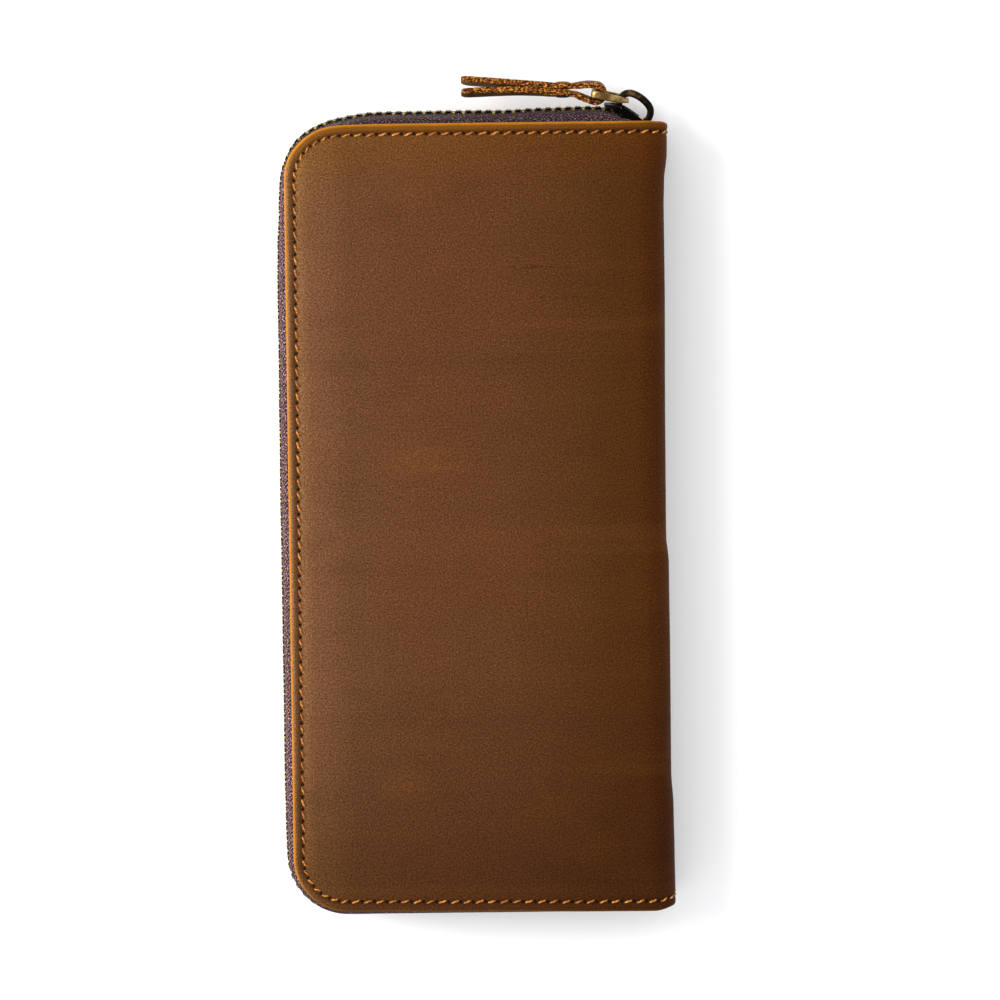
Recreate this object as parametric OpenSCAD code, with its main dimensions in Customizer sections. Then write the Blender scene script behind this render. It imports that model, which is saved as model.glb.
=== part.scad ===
// Long zip-around wallet in oiled leather, closed and lying on its back cover.
// X runs from the zip side (-X) to the spine (+X), Y runs along the spine and Z is
// the thickness. The origin is the middle of the back cover's outer face.

/* [Body] */
// Length of the leather covers, along the spine
panel_l = 199; // [186:1:206]
// Width of the leather covers, from the zip side to the spine
panel_w = 96; // [92:1:102]
// Thickness of the closed wallet
body_t = 25; // [25:0.5:28]
// Radius of the two cover corners on the zip side
corner_r = 13.5; // [11:0.5:16]
// Outer radius of the leather where it turns round the spine
bend_r = 6; // [5:0.5:7]

/* [Layers] */
// Thickness of the outer leather
leather_t = 1.5; // [1.2:0.1:1.6]
// Thickness of the zip tape, and of the board that lies level with its flange
tape_t = 0.7; // [0.5:0.1:0.8]
// Thickness of the cloth lining
lining_t = 0.5; // [0.3:0.1:0.6]
// Distance from the cover's edge to the line of stitches
stitch_in = 2.5; // [2:0.1:3]

/* [Card pockets] */
// Thickness of the pocket leather
pocket_t = 0.5; // [0.4:0.1:0.5]
// Space left inside each empty pocket
pocket_gap = 0.3; // [0.2:0.1:0.3]
// Distance from one pocket mouth to the next
tier_step = 10; // [8:1:11]
// Length of the pocket panels, along the spine
pocket_l = 178; // [170:1:180]

/* [Coin pocket] */
// Thickness of the coin pocket between its two faces
coin_t = 3; // [2.8:0.1:3]
// Length of the coin pocket, along the spine
coin_l = 176; // [168:1:178]
// Thickness of the coin pocket leather
coin_wall_t = 0.6; // [0.5:0.1:0.6]

/* [Zip] */
// Distance from one tooth to the next on the same tape
tooth_pitch = 2.5; // [2.4:0.1:3]
// Length of a tooth along the tape
tooth_l = 1.4; // [1.2:0.1:1.5]
// Thickness of a tooth across the tape
tooth_t = 2.2; // [1.8:0.1:2.2]
// How far the middle of the zip wall stands out past the leather edge
wall_out = 1.5; // [1.2:0.1:2]

/* [Pull] */
// Width of the leather pull strap
strap_w = 5.5; // [5:0.1:6]
// Thickness of the leather pull strap
strap_t = 1.6; // [1.3:0.1:1.6]

/* [Hidden] */

$fn = 48;
arc_steps = 10;          // straight pieces in a quarter turn of an outline
eps = 0.01;              // overshoot of a cutter past the face that it cuts
mid_z = body_t / 2;

// Covers
zip_x = -panel_w / 2;
spine_x = panel_w / 2;
end_y = panel_l / 2;
bend_x = spine_x - bend_r;
fold_gap = 0.4;          // slit between a cover and the spine, in the middle of a bend
fold_half = fold_gap / 2 / (bend_r - leather_t / 2) * 180 / PI;
thread_w = 0.5;
thread_d = 0.3;
board_in = 8.4;
board_end_x = bend_x - 2;
lining_in = 3;
cover_t = leather_t + tape_t + lining_t;
spine_lining_l = panel_l - 2 * lining_in;
spine_lining_z = bend_r + 1;

// Zip wall: a flange sewn under the leather, a quarter turn and an upright edge
flange_in = 8;
turn_in = 2.8;
turn_r = wall_out + turn_in;
turn_z = leather_t + tape_t / 2 + turn_r;
tape_edge = mid_z - 2.4; // each tape stops short of the middle, where the teeth stand on it
tooth_tip = mid_z - 1.1;
jaw_l = 1.1;             // length of tape that a tooth grips
run_end_x = 37.5;        // where the tape turns in towards the spine
tail_x = 44;
tail_drop = 4.6;
first_tooth_x = 35.8;
zip_run = first_tooth_x - zip_x - corner_r;
zip_bend = (corner_r + wall_out) * PI / 2;
zip_length = 2 * (zip_run + zip_bend) + panel_l - 2 * corner_r;
tooth_count = floor(zip_length / tooth_pitch) - 1;
tooth_start = (zip_length - tooth_count * tooth_pitch) / 2;
stop_x = first_tooth_x + 0.9;
stop_l = 0.6;
stop_t = 1.6;

// Pockets on the covers
pocket_root_x = 39;
slip_mouth_x = -40;
first_mouth_x = -34;
seam_w = 2;

// Coin pocket
coin_mouth_x = -36;
coin_root_x = 38;
coin_top = mid_z + coin_t / 2;
coin_bottom = mid_z - coin_t / 2;
coin_frame_w = 2;
coin_zip_x = -27;
coin_window_w = 8;
coin_window_l = 160;
coin_tape_t = 0.3;
coin_teeth_t = 1.1;
coin_tooth_l = 0.8;
coin_pitch = 1.6;
coin_zip_end = 2;        // bare window at each end of the row of teeth
coin_tape_over = 2;      // tape that runs on under the leather, past each end of the window
coin_tape_seam = 1.5;    // and past its long sides
coin_gap = 0.55;         // from the middle of the coin zip to its teeth
coin_tooth_w = 0.9;
coin_teeth_z = coin_top - coin_wall_t - coin_tape_t / 2 - 0.05;
strip_t = 0.8;
page_end_x = 44.9;

// Coin slider and its pull, parked at the +Y end of the coin zip
coin_slider_y = 72;
coin_slider_l = 6;
coin_slider_w = 5.2;
coin_plate_t = 0.5;
coin_post_w = 0.6;
coin_plate_gap = [0.2, 0.25]; // below and above the teeth
coin_lug_x = 1.1;
coin_lug_t = 0.7;
coin_lug_l = 1.8;
coin_lug_over = 0.7;     // lug above the middle of the pin
coin_pin_z = coin_top + 1.25;
coin_pin_r = 0.3;
coin_pin_l = 2.9;
coin_hole_r = 0.35;
coin_neck_l = 3;
coin_neck_w = 1.3;
coin_pull_l = 9;
coin_pull_w = 3;
coin_pull_t = 0.7;

// Slider, parked near the spine on the +Y run
plate_x0 = 32.4;
plate_x1 = 36.4;
plate_w = 8.4;
plate_t = 0.6;
plate_gap = 0.2;
blade_x0 = 34.4;
blade_x1 = 36.8;
blade_w = 1.6;
nose = [42.4, -0.6];
nose_under = [41.2, -1.7];
crown_w = 1.5;
crown_t = 1.6;
crown_hole = [[37.85, 4.35, 1.05], [39.2, 4.7, 0.7], [41.5, 3, 0.7], [42.2, 1.2, 0.6]]; // x, n, radius
crown_leg = [1.9, 3.2];
crown_leg_n = -0.9;
crown_cut_n = -6;        // lower than any part of the crown
upper_n = wall_out + tooth_t / 2 + plate_gap;
lower_n = wall_out - tooth_t / 2 - plate_gap - plate_t;

// Pull link: a flat ring between the crown and the strap
link_pin = [37.9, 4.3];
link_end = [29.95, 6.05];
link_bar_r = 0.7;
link_h = 1.8;
link_side_t = 1.2;
link_inner_w = strap_w + 0.7;
link_over = [0.8, 0.9];    // side bars past the pin end and past the strap end

// Strap route, as distances along X and out past the leather edge
rivet_x = 22;
rivet_r = 0.9;
rivet_hole_r = 0.95;
rivet_cap_r = 2.3;
rivet_cap_t = 0.6;
rivet_seat = rivet_cap_r + 0.5;
strap_mid_n = 7.1;
strap_rise = strap_t / 2 + 0.05;
strap_top = [
    [-3.4, 9.75], [4, 9.15], [11, 8.6], [17, 8.15],
    [rivet_x - rivet_seat, strap_mid_n + strap_rise],
    [rivet_x + rivet_seat, strap_mid_n + strap_rise],
    [28, 8.15]
];
strap_loop_mid = [30.2, 6.1];
strap_loop_r = 2.1;
strap_loop_turn = [80, -110];
strap_bottom = [
    [27.4, 4.95],
    [rivet_x + rivet_seat, strap_mid_n - strap_rise],
    [rivet_x - rivet_seat, strap_mid_n - strap_rise],
    [11, 6.85], [4, 6.8], [-3.4, 6.6]
];
rivet_clear = 0.15;      // the strap bends a little under the caps
rivet_top_n = strap_mid_n + strap_rise + strap_t / 2 + rivet_clear;
rivet_bottom_n = strap_mid_n - strap_rise - strap_t / 2 - rivet_clear;

// ---- shared geometry ----

function arc(mid, r, from, to, steps = arc_steps) = [
    for (i = [0 : steps]) let (a = from + (to - from) * i / steps) mid + r * [cos(a), sin(a)]
];

function unit(v) = v / norm(v);

// Direction of a path at point i, taken from its neighbours
function heading(path, i) = unit(path[min(i + 1, len(path) - 1)] - path[max(i - 1, 0)]);

// Points on one side of a path, at a signed distance from it
function beside(path, d) = [
    for (i = [0 : len(path) - 1]) let (h = heading(path, i)) path[i] + d * [-h[1], h[0]]
];

function turned(points) = [for (i = [len(points) - 1 : -1 : 0]) points[i]];

// Outline of a cover, inset from its three zip sides and cut off at x = end_x
module cover_outline(inset, end_x) {
    mid_x = zip_x + corner_r;
    mid_y = end_y - corner_r;
    r = corner_r - inset;
    polygon(concat(
        [[end_x, end_y - inset]],
        arc([mid_x, mid_y], r, 90, 180),
        arc([mid_x, -mid_y], r, 180, 270),
        [[end_x, inset - end_y]]
    ));
}

// Turns a 2D shape in (x, z) into a solid that runs along Y
module along_y(length) {
    rotate([90, 0, 0]) linear_extrude(height = length, center = true) children();
}

// Turns a 2D shape in (outwards, z) into a solid that runs along X from x0 to x1
module along_x(x0, x1) {
    translate([x0, 0, 0]) rotate([90, 0, 90]) linear_extrude(height = x1 - x0) children();
}

// Carries what is built for the back cover to the front cover
module on_front() {
    translate([0, 0, body_t]) mirror([0, 0, 1]) children();
}

// A box given by its lowest and highest corners
module block(low, high) {
    translate(low) cube(high - low);
}

// ---- covers ----

module thread_path() {
    difference() {
        cover_outline(stitch_in - thread_w / 2, bend_x);
        cover_outline(stitch_in + thread_w / 2, bend_x + 1);
    }
}

module bend_sector(mid, from, to) {
    polygon(concat(arc(mid, bend_r, from, to), arc(mid, bend_r - leather_t, to, from)));
}

module cover_leather() {
    difference() {
        linear_extrude(height = leather_t) cover_outline(0, bend_x);
        translate([0, 0, -eps]) linear_extrude(height = thread_d + eps) thread_path();
    }
    along_y(panel_l) bend_sector([bend_x, bend_r], -90, -45 - fold_half);
}

module cover_board() {
    translate([0, 0, leather_t]) linear_extrude(height = tape_t) cover_outline(board_in, board_end_x);
}

module cover_lining() {
    translate([0, 0, leather_t + tape_t]) linear_extrude(height = lining_t) cover_outline(lining_in, bend_x);
}

module cover_thread() {
    linear_extrude(height = thread_d) thread_path();
}

// ---- zip ----

module tape_profile() {
    mid = [-turn_in, turn_z];
    outer = turn_r + tape_t / 2;
    inner = turn_r - tape_t / 2;
    polygon(concat(
        [[-flange_in, leather_t]],
        arc(mid, outer, -90, 0),
        [[-turn_in + outer, tape_edge], [-turn_in + inner, tape_edge]],
        arc(mid, inner, 0, -90),
        [[-flange_in, leather_t + tape_t]]
    ));
}

// Upright end of the tape, turning in towards the spine past the last tooth
module tape_tail() {
    route = [[run_end_x, wall_out], [tail_x, wall_out - tail_drop]];
    translate([0, end_y, turn_z]) linear_extrude(height = tape_edge - turn_z)
        polygon([
            route[0] + [0, tape_t / 2],
            route[1] + [0, tape_t / 2],
            route[1] - [0, tape_t / 2],
            route[0] - [0, tape_t / 2]
        ]);
}

module zip_tape() {
    for (side = [0, 1]) mirror([0, side, 0]) {
        translate([0, end_y, 0]) along_x(zip_x + corner_r, run_end_x) tape_profile();
        translate([zip_x + corner_r, end_y - corner_r, 0]) rotate([0, 0, 90])
            rotate_extrude(angle = 90, $fn = 64) translate([corner_r, 0]) tape_profile();
        tape_tail();
    }
    side_run = end_y - corner_r;
    rotate([0, 0, 90]) translate([0, panel_w / 2, 0]) along_x(-side_run, side_run) tape_profile();
}

// Stands its child on the zip wall, a distance s along the wall from the first tooth.
// The child's +Y points outwards.
module on_zip(s) {
    flip = s > zip_length / 2 ? 1 : 0;
    d = flip ? zip_length - s : s;
    turn = d - zip_run;
    mirror([0, flip, 0])
        if (turn < 0) {
            translate([first_tooth_x - d, end_y, 0]) children();
        } else if (turn < zip_bend) {
            translate([zip_x + corner_r, end_y - corner_r, 0])
                rotate([0, 0, turn / zip_bend * 90]) translate([0, corner_r, 0]) children();
        } else {
            translate([zip_x, end_y - corner_r - (turn - zip_bend), 0]) rotate([0, 0, 90]) children();
        }
}

module tooth() {
    near = wall_out - tooth_t / 2;
    far = wall_out + tooth_t / 2;
    along_x(-tooth_l / 2, tooth_l / 2) polygon([
        [near, tape_edge - jaw_l],
        [wall_out - tape_t / 2, tape_edge - jaw_l],
        [wall_out - tape_t / 2, tape_edge],
        [wall_out + tape_t / 2, tape_edge],
        [wall_out + tape_t / 2, tape_edge - jaw_l],
        [far, tape_edge - jaw_l],
        [far, tooth_tip],
        [near, tooth_tip]
    ]);
}

// The two rows are half a pitch apart, as meshed teeth are
module zip_teeth(shift) {
    for (i = [0 : tooth_count - 1]) on_zip(tooth_start + (i + shift) * tooth_pitch) tooth();
}

module zip_stops() {
    for (side = [0, 1]) mirror([0, side, 0])
        translate([stop_x, end_y + wall_out, 0])
            block([0, -stop_t / 2, tape_edge], [stop_l, stop_t / 2, tooth_tip]);
}

// ---- pockets on the covers ----

// A thin panel held off the layer below by its sewn edges
module pocket_panel(level, mouth_x, middle_seam) {
    base = cover_t + level * (pocket_t + pocket_gap);
    y = pocket_l / 2;
    block([mouth_x, -y, base + pocket_gap], [pocket_root_x, y, base + pocket_gap + pocket_t]);
    block([pocket_root_x - seam_w, -y, base], [pocket_root_x, y, base + pocket_gap]);
    for (side = [-1, 1])
        translate([0, side * (y - seam_w / 2), 0])
            block([mouth_x, -seam_w / 2, base], [pocket_root_x - seam_w, seam_w / 2, base + pocket_gap]);
    if (middle_seam)
        block([mouth_x, -seam_w / 2, base], [pocket_root_x - seam_w, seam_w / 2, base + pocket_gap]);
}

module slip_pocket() {
    pocket_panel(0, slip_mouth_x, false);
}

module card_tier(n) {
    pocket_panel(n, first_mouth_x + (n - 1) * tier_step, true);
}

// ---- spine ----

// The two stitch lines that cross the spine, reaching "over" past its outer face
module spine_stitches(over) {
    for (side = [-1, 1]) translate([0, side * (end_y - stitch_in), 0])
        block([spine_x - thread_d, -thread_w / 2, bend_r], [spine_x + over, thread_w / 2, body_t - bend_r]);
}

module spine_leather() {
    color("#5a3620") {
        difference() {
            block([spine_x - leather_t, -end_y, bend_r], [spine_x, end_y, body_t - bend_r]);
            spine_stitches(eps);
        }
        along_y(panel_l) bend_sector([bend_x, bend_r], -45 + fold_half, 0);
        along_y(panel_l) bend_sector([bend_x, body_t - bend_r], 0, 45 - fold_half);
    }
}

module spine_lining() {
    x = spine_x - leather_t;
    y = spine_lining_l / 2;
    color("#3a2a22") block([x - lining_t, -y, spine_lining_z], [x, y, body_t - spine_lining_z]);
}

module spine_thread() {
    color("#b8763a") spine_stitches(0);
}

// ---- coin pocket ----

module coin_face(low_z) {
    y = coin_l / 2;
    block([coin_mouth_x, -y, low_z], [coin_root_x, y, low_z + coin_wall_t]);
}

module coin_wall_front() {
    w = coin_window_w / 2;
    l = coin_window_l / 2;
    color("#6b4226") difference() {
        coin_face(coin_top - coin_wall_t);
        block([coin_zip_x - w, -l, coin_top - 2 * coin_wall_t], [coin_zip_x + w, l, coin_top + 1]);
    }
}

module coin_wall_back() {
    color("#6b4226") coin_face(coin_bottom);
}

module coin_frame() {
    y = coin_l / 2;
    w = coin_frame_w;
    low = coin_bottom + coin_wall_t;
    high = coin_top - coin_wall_t;
    color("#4a2c1a") difference() {
        block([coin_mouth_x, -y, low], [coin_root_x, y, high]);
        block([coin_mouth_x + w, w - y, low - 1], [coin_root_x - w, y - w, high + 1]);
    }
}

module coin_hinge_strip() {
    y = coin_l / 2;
    color("#4a2c1a") block([coin_root_x, -y, mid_z - strip_t / 2], [page_end_x, y, mid_z + strip_t / 2]);
}

module coin_zip_tape() {
    high = coin_top - coin_wall_t;
    l = coin_window_l / 2 + coin_tape_over;
    inner = coin_gap + coin_tooth_w;
    outer = coin_window_w / 2 + coin_tape_seam;
    color("#3b3034") for (side = [0, 1]) translate([coin_zip_x, 0, 0]) mirror([side, 0, 0])
        block([inner, -l, high - coin_tape_t], [outer, l, high]);
}

module coin_zip_teeth() {
    n = floor((coin_window_l - 2 * coin_zip_end) / coin_pitch);
    start = -(n - 0.5) * coin_pitch / 2;
    x = coin_gap + coin_tooth_w;
    z = coin_teeth_z - coin_teeth_t / 2;
    color("#8a7440") for (side = [0, 1]) translate([coin_zip_x, 0, 0]) mirror([side, 0, 0])
        for (i = [0 : n - 1]) translate([0, start + (i + side / 2) * coin_pitch, 0])
            block([coin_gap, -coin_tooth_l / 2, z], [x, coin_tooth_l / 2, z + coin_teeth_t]);
}

module coin_slider() {
    w = coin_slider_w / 2;
    l = coin_slider_l / 2;
    low = coin_teeth_z - coin_teeth_t / 2 - coin_plate_gap[0];
    high = coin_teeth_z + coin_teeth_t / 2 + coin_plate_gap[1];
    lug = [coin_lug_t / 2, coin_lug_l / 2, coin_pin_z + coin_lug_over];
    color("#7a6a42") translate([coin_zip_x, coin_slider_y, 0]) {
        block([-w, -l, high], [w, l, high + coin_plate_t]);
        block([-w, -l, low - coin_plate_t], [w, l, low]);
        block([-coin_post_w / 2, -l / 2, low], [coin_post_w / 2, l / 2, high]);
        for (side = [-1, 1]) translate([side * coin_lug_x, 0, 0]) difference() {
            block([-lug[0], -lug[1], high + coin_plate_t], lug);
            translate([0, 0, coin_pin_z]) rotate([0, 90, 0])
                cylinder(h = 2 * coin_lug_t, r = coin_hole_r, center = true);
        }
    }
}

module coin_pull() {
    neck = coin_neck_w / 2;
    w = coin_pull_w / 2;
    t = coin_pull_t / 2;
    color("#8d7a4c") translate([coin_zip_x, coin_slider_y, coin_pin_z]) {
        rotate([0, 90, 0]) cylinder(h = coin_pin_l, r = coin_pin_r, center = true);
        block([-neck, -coin_neck_l, -t], [neck, 0, t]);
        block([-w, -coin_pull_l, -t], [w, -coin_neck_l, t]);
    }
}

// ---- slider and pull ----

// Carries a 2D shape in (x, outwards) to the +Y zip wall, centred on the teeth
module on_wall(width) {
    translate([0, end_y, mid_z]) linear_extrude(height = width, center = true) children();
}

module blade_outline() {
    polygon([
        [blade_x0, lower_n + plate_t],
        [blade_x0, upper_n],
        [plate_x1, upper_n],
        [plate_x1, upper_n + plate_t],
        [blade_x1, upper_n + plate_t],
        nose,
        nose_under,
        [blade_x1, lower_n]
    ]);
}

module slider_plate(n) {
    half = plate_w / 2;
    translate([0, end_y, mid_z]) block([plate_x0, n, -half], [plate_x1, n + plate_t, half]);
}

module slider_body() {
    color("#4a4438") {
        slider_plate(upper_n);
        slider_plate(lower_n);
        on_wall(blade_w) blade_outline();
    }
}

module crown_outline(grow) {
    hull() for (c = crown_hole) translate([c[0], c[1]]) circle(r = c[2] + grow, $fn = 32);
}

module slider_crown() {
    top = upper_n + plate_t;
    color("#5c5138") on_wall(crown_t) difference() {
        union() {
            crown_outline(crown_w);
            translate([nose[0], crown_leg_n]) square(crown_leg);
        }
        crown_outline(0);
        polygon([
            [plate_x0, top],
            [blade_x1, top],
            nose,
            [nose[0], crown_cut_n],
            [plate_x0, crown_cut_n]
        ]);
    }
}

module pull_link() {
    way = link_end - link_pin;
    length = norm(way);
    inner = link_inner_w / 2;
    h = link_h / 2;
    color("#8d7a4c") translate([link_pin[0], end_y + link_pin[1], mid_z])
        rotate([0, 0, atan2(way[1], way[0])]) {
            for (side = [0, 1]) mirror([0, 0, side])
                block([-link_over[0], -h, inner], [length + link_over[1], h, inner + link_side_t]);
            for (x = [0, length]) translate([x, 0, 0])
                cylinder(h = link_inner_w, r = link_bar_r, center = true);
        }
}

module pull_strap() {
    route = concat(
        strap_top,
        arc(strap_loop_mid, strap_loop_r, strap_loop_turn[0], strap_loop_turn[1]),
        strap_bottom
    );
    color("#8a4a1c") difference() {
        on_wall(strap_w) polygon(concat(beside(route, strap_t / 2), turned(beside(route, -strap_t / 2))));
        translate([rivet_x, end_y + strap_mid_n, mid_z]) rotate([90, 0, 0])
            cylinder(h = 5 * strap_t, r = rivet_hole_r, center = true);
    }
}

module pull_rivet() {
    color("#8d8676") translate([rivet_x, end_y, mid_z]) {
        translate([0, rivet_top_n, 0]) rotate([90, 0, 0])
            cylinder(h = rivet_top_n - rivet_bottom_n, r = rivet_r);
        translate([0, rivet_top_n + rivet_cap_t, 0]) rotate([90, 0, 0])
            cylinder(h = rivet_cap_t, r = rivet_cap_r);
    }
}

module pull_rivet_cap() {
    color("#8d8676") translate([rivet_x, end_y + rivet_bottom_n, mid_z]) rotate([90, 0, 0])
        cylinder(h = rivet_cap_t, r = rivet_cap_r);
}

// ---- nodes of the two covers ----

module back_leather() { color("#5a3620") cover_leather(); }
module back_board() { color("#9a8a70") cover_board(); }
module back_lining() { color("#3a2a22") cover_lining(); }
module back_thread() { color("#b8763a") cover_thread(); }
module back_zip_tape() { color("#3d3036") zip_tape(); }
module back_zip_teeth() { color("#9c8440") zip_teeth(0); }
module back_zip_stops() { color("#9c8440") zip_stops(); }
module back_slip_pocket() { color("#6b4226") slip_pocket(); }
module back_card_tier(n) { color("#6b4226") card_tier(n); }

module front_leather() { color("#5a3620") on_front() cover_leather(); }
module front_board() { color("#9a8a70") on_front() cover_board(); }
module front_lining() { color("#3a2a22") on_front() cover_lining(); }
module front_thread() { color("#b8763a") on_front() cover_thread(); }
module front_zip_tape() { color("#3d3036") on_front() zip_tape(); }
module front_zip_teeth() { color("#9c8440") on_front() zip_teeth(0.5); }
module front_zip_stops() { color("#9c8440") on_front() zip_stops(); }
module front_slip_pocket() { color("#6b4226") on_front() slip_pocket(); }
module front_card_tier(n) { color("#6b4226") on_front() card_tier(n); }

back_leather();
back_board();
back_lining();
back_thread();
back_zip_tape();
back_zip_teeth();
back_zip_stops();
back_slip_pocket();
back_card_tier(1);  // back_card_tier_1
back_card_tier(2);  // back_card_tier_2
back_card_tier(3);  // back_card_tier_3
back_card_tier(4);  // back_card_tier_4
front_leather();
front_board();
front_lining();
front_thread();
front_zip_tape();
front_zip_teeth();
front_zip_stops();
front_slip_pocket();
front_card_tier(1);  // front_card_tier_1
front_card_tier(2);  // front_card_tier_2
front_card_tier(3);  // front_card_tier_3
front_card_tier(4);  // front_card_tier_4
spine_leather();
spine_lining();
spine_thread();
coin_wall_front();
coin_wall_back();
coin_frame();
coin_hinge_strip();
coin_zip_tape();
coin_zip_teeth();
coin_slider();
coin_pull();
slider_body();
slider_crown();
pull_link();
pull_strap();
pull_rivet();
pull_rivet_cap();
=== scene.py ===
"""A long zip-around wallet in oiled brown leather, closed and lying on its back cover.

Lengths in the geometry code are millimetres; build() turns them into metres.
"""

import math
import random

import bmesh
import bpy
from mathutils import Matrix, Vector, noise


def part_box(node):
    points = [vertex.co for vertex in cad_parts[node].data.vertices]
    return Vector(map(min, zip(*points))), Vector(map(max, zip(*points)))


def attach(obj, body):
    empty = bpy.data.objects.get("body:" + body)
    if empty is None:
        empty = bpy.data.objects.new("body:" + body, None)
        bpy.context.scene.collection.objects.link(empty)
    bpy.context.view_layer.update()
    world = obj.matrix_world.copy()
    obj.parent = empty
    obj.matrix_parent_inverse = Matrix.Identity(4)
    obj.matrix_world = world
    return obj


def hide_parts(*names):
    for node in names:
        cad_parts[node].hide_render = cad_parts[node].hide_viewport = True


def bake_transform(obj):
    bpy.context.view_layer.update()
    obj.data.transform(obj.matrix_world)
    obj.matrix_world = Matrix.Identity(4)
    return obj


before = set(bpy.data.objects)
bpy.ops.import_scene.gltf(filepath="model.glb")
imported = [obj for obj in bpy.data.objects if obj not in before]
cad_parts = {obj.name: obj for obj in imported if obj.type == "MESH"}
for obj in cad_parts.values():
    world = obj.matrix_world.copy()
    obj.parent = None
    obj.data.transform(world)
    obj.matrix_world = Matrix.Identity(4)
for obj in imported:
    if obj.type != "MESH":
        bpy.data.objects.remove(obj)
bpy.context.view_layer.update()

random.seed(11)
MM = 0.001

# ---- sizes of the frame, in mm ----

T = 25.0            # thickness of the closed wallet
MID = T / 2
END = 99.5          # half the length of the covers
LEFT = -48.0        # zip side
SPINE = 48.0        # outer face of the spine
BEND = 42.0         # where the leather starts to turn round the spine
BEND_R = 6.0
CORNER = 13.5       # radius of the cover corners
LEATHER = 1.5
TURN = BEND_R * math.pi / 2
U_END = BEND + TURN + MID - BEND_R        # unrolled x of the middle of the spine
CORNER_X = LEFT + CORNER
CORNER_Y = END - CORNER
RUN = U_END - CORNER_X                   # straight edge from mid-spine to a corner
ARC = CORNER * math.pi / 2
SIDE = 2 * CORNER_Y
SEAM = 2 * RUN + 2 * ARC + SIDE          # length of the edge from spine to spine


def add_object(name, data):
    ob = bpy.data.objects.new(name, data)
    bpy.context.scene.collection.objects.link(ob)
    return ob


# ---- camera, in metres ----

TILT = math.radians(7.0)
ROLL = math.radians(0.7)
DISTANCE = 3.012
LENS = 432          # mm, on a 36 mm sensor
TARGET = Vector((0.0050, 0.0045, 0.0245))


def make_camera():
    up0 = Vector((0, math.cos(TILT), -math.sin(TILT)))
    right0 = Vector((1, 0, 0))
    back = Vector((0, math.sin(TILT), math.cos(TILT)))
    up = up0 * math.cos(ROLL) + right0 * math.sin(ROLL)
    right = right0 * math.cos(ROLL) - up0 * math.sin(ROLL)
    data = bpy.data.cameras.new("camera")
    data.lens = LENS
    data.sensor_width = 36
    data.clip_start = 0.01
    data.clip_end = 50
    cam = add_object("camera", data)
    turn = Matrix((right, up, back)).transposed().to_4x4()
    cam.matrix_world = Matrix.Translation(TARGET + back * DISTANCE) @ turn
    bpy.context.scene.camera = cam


make_camera()

# ---- shading helpers ----


def srgb(text):
    """A colour written as on screen, such as 5a371e, as linear red, green, blue, 1."""
    out = []
    for i in (0, 2, 4):
        c = int(text[i:i + 2], 16) / 255
        out.append(c / 12.92 if c <= 0.04045 else ((c + 0.055) / 1.055) ** 2.4)
    return (*out, 1.0)


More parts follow.
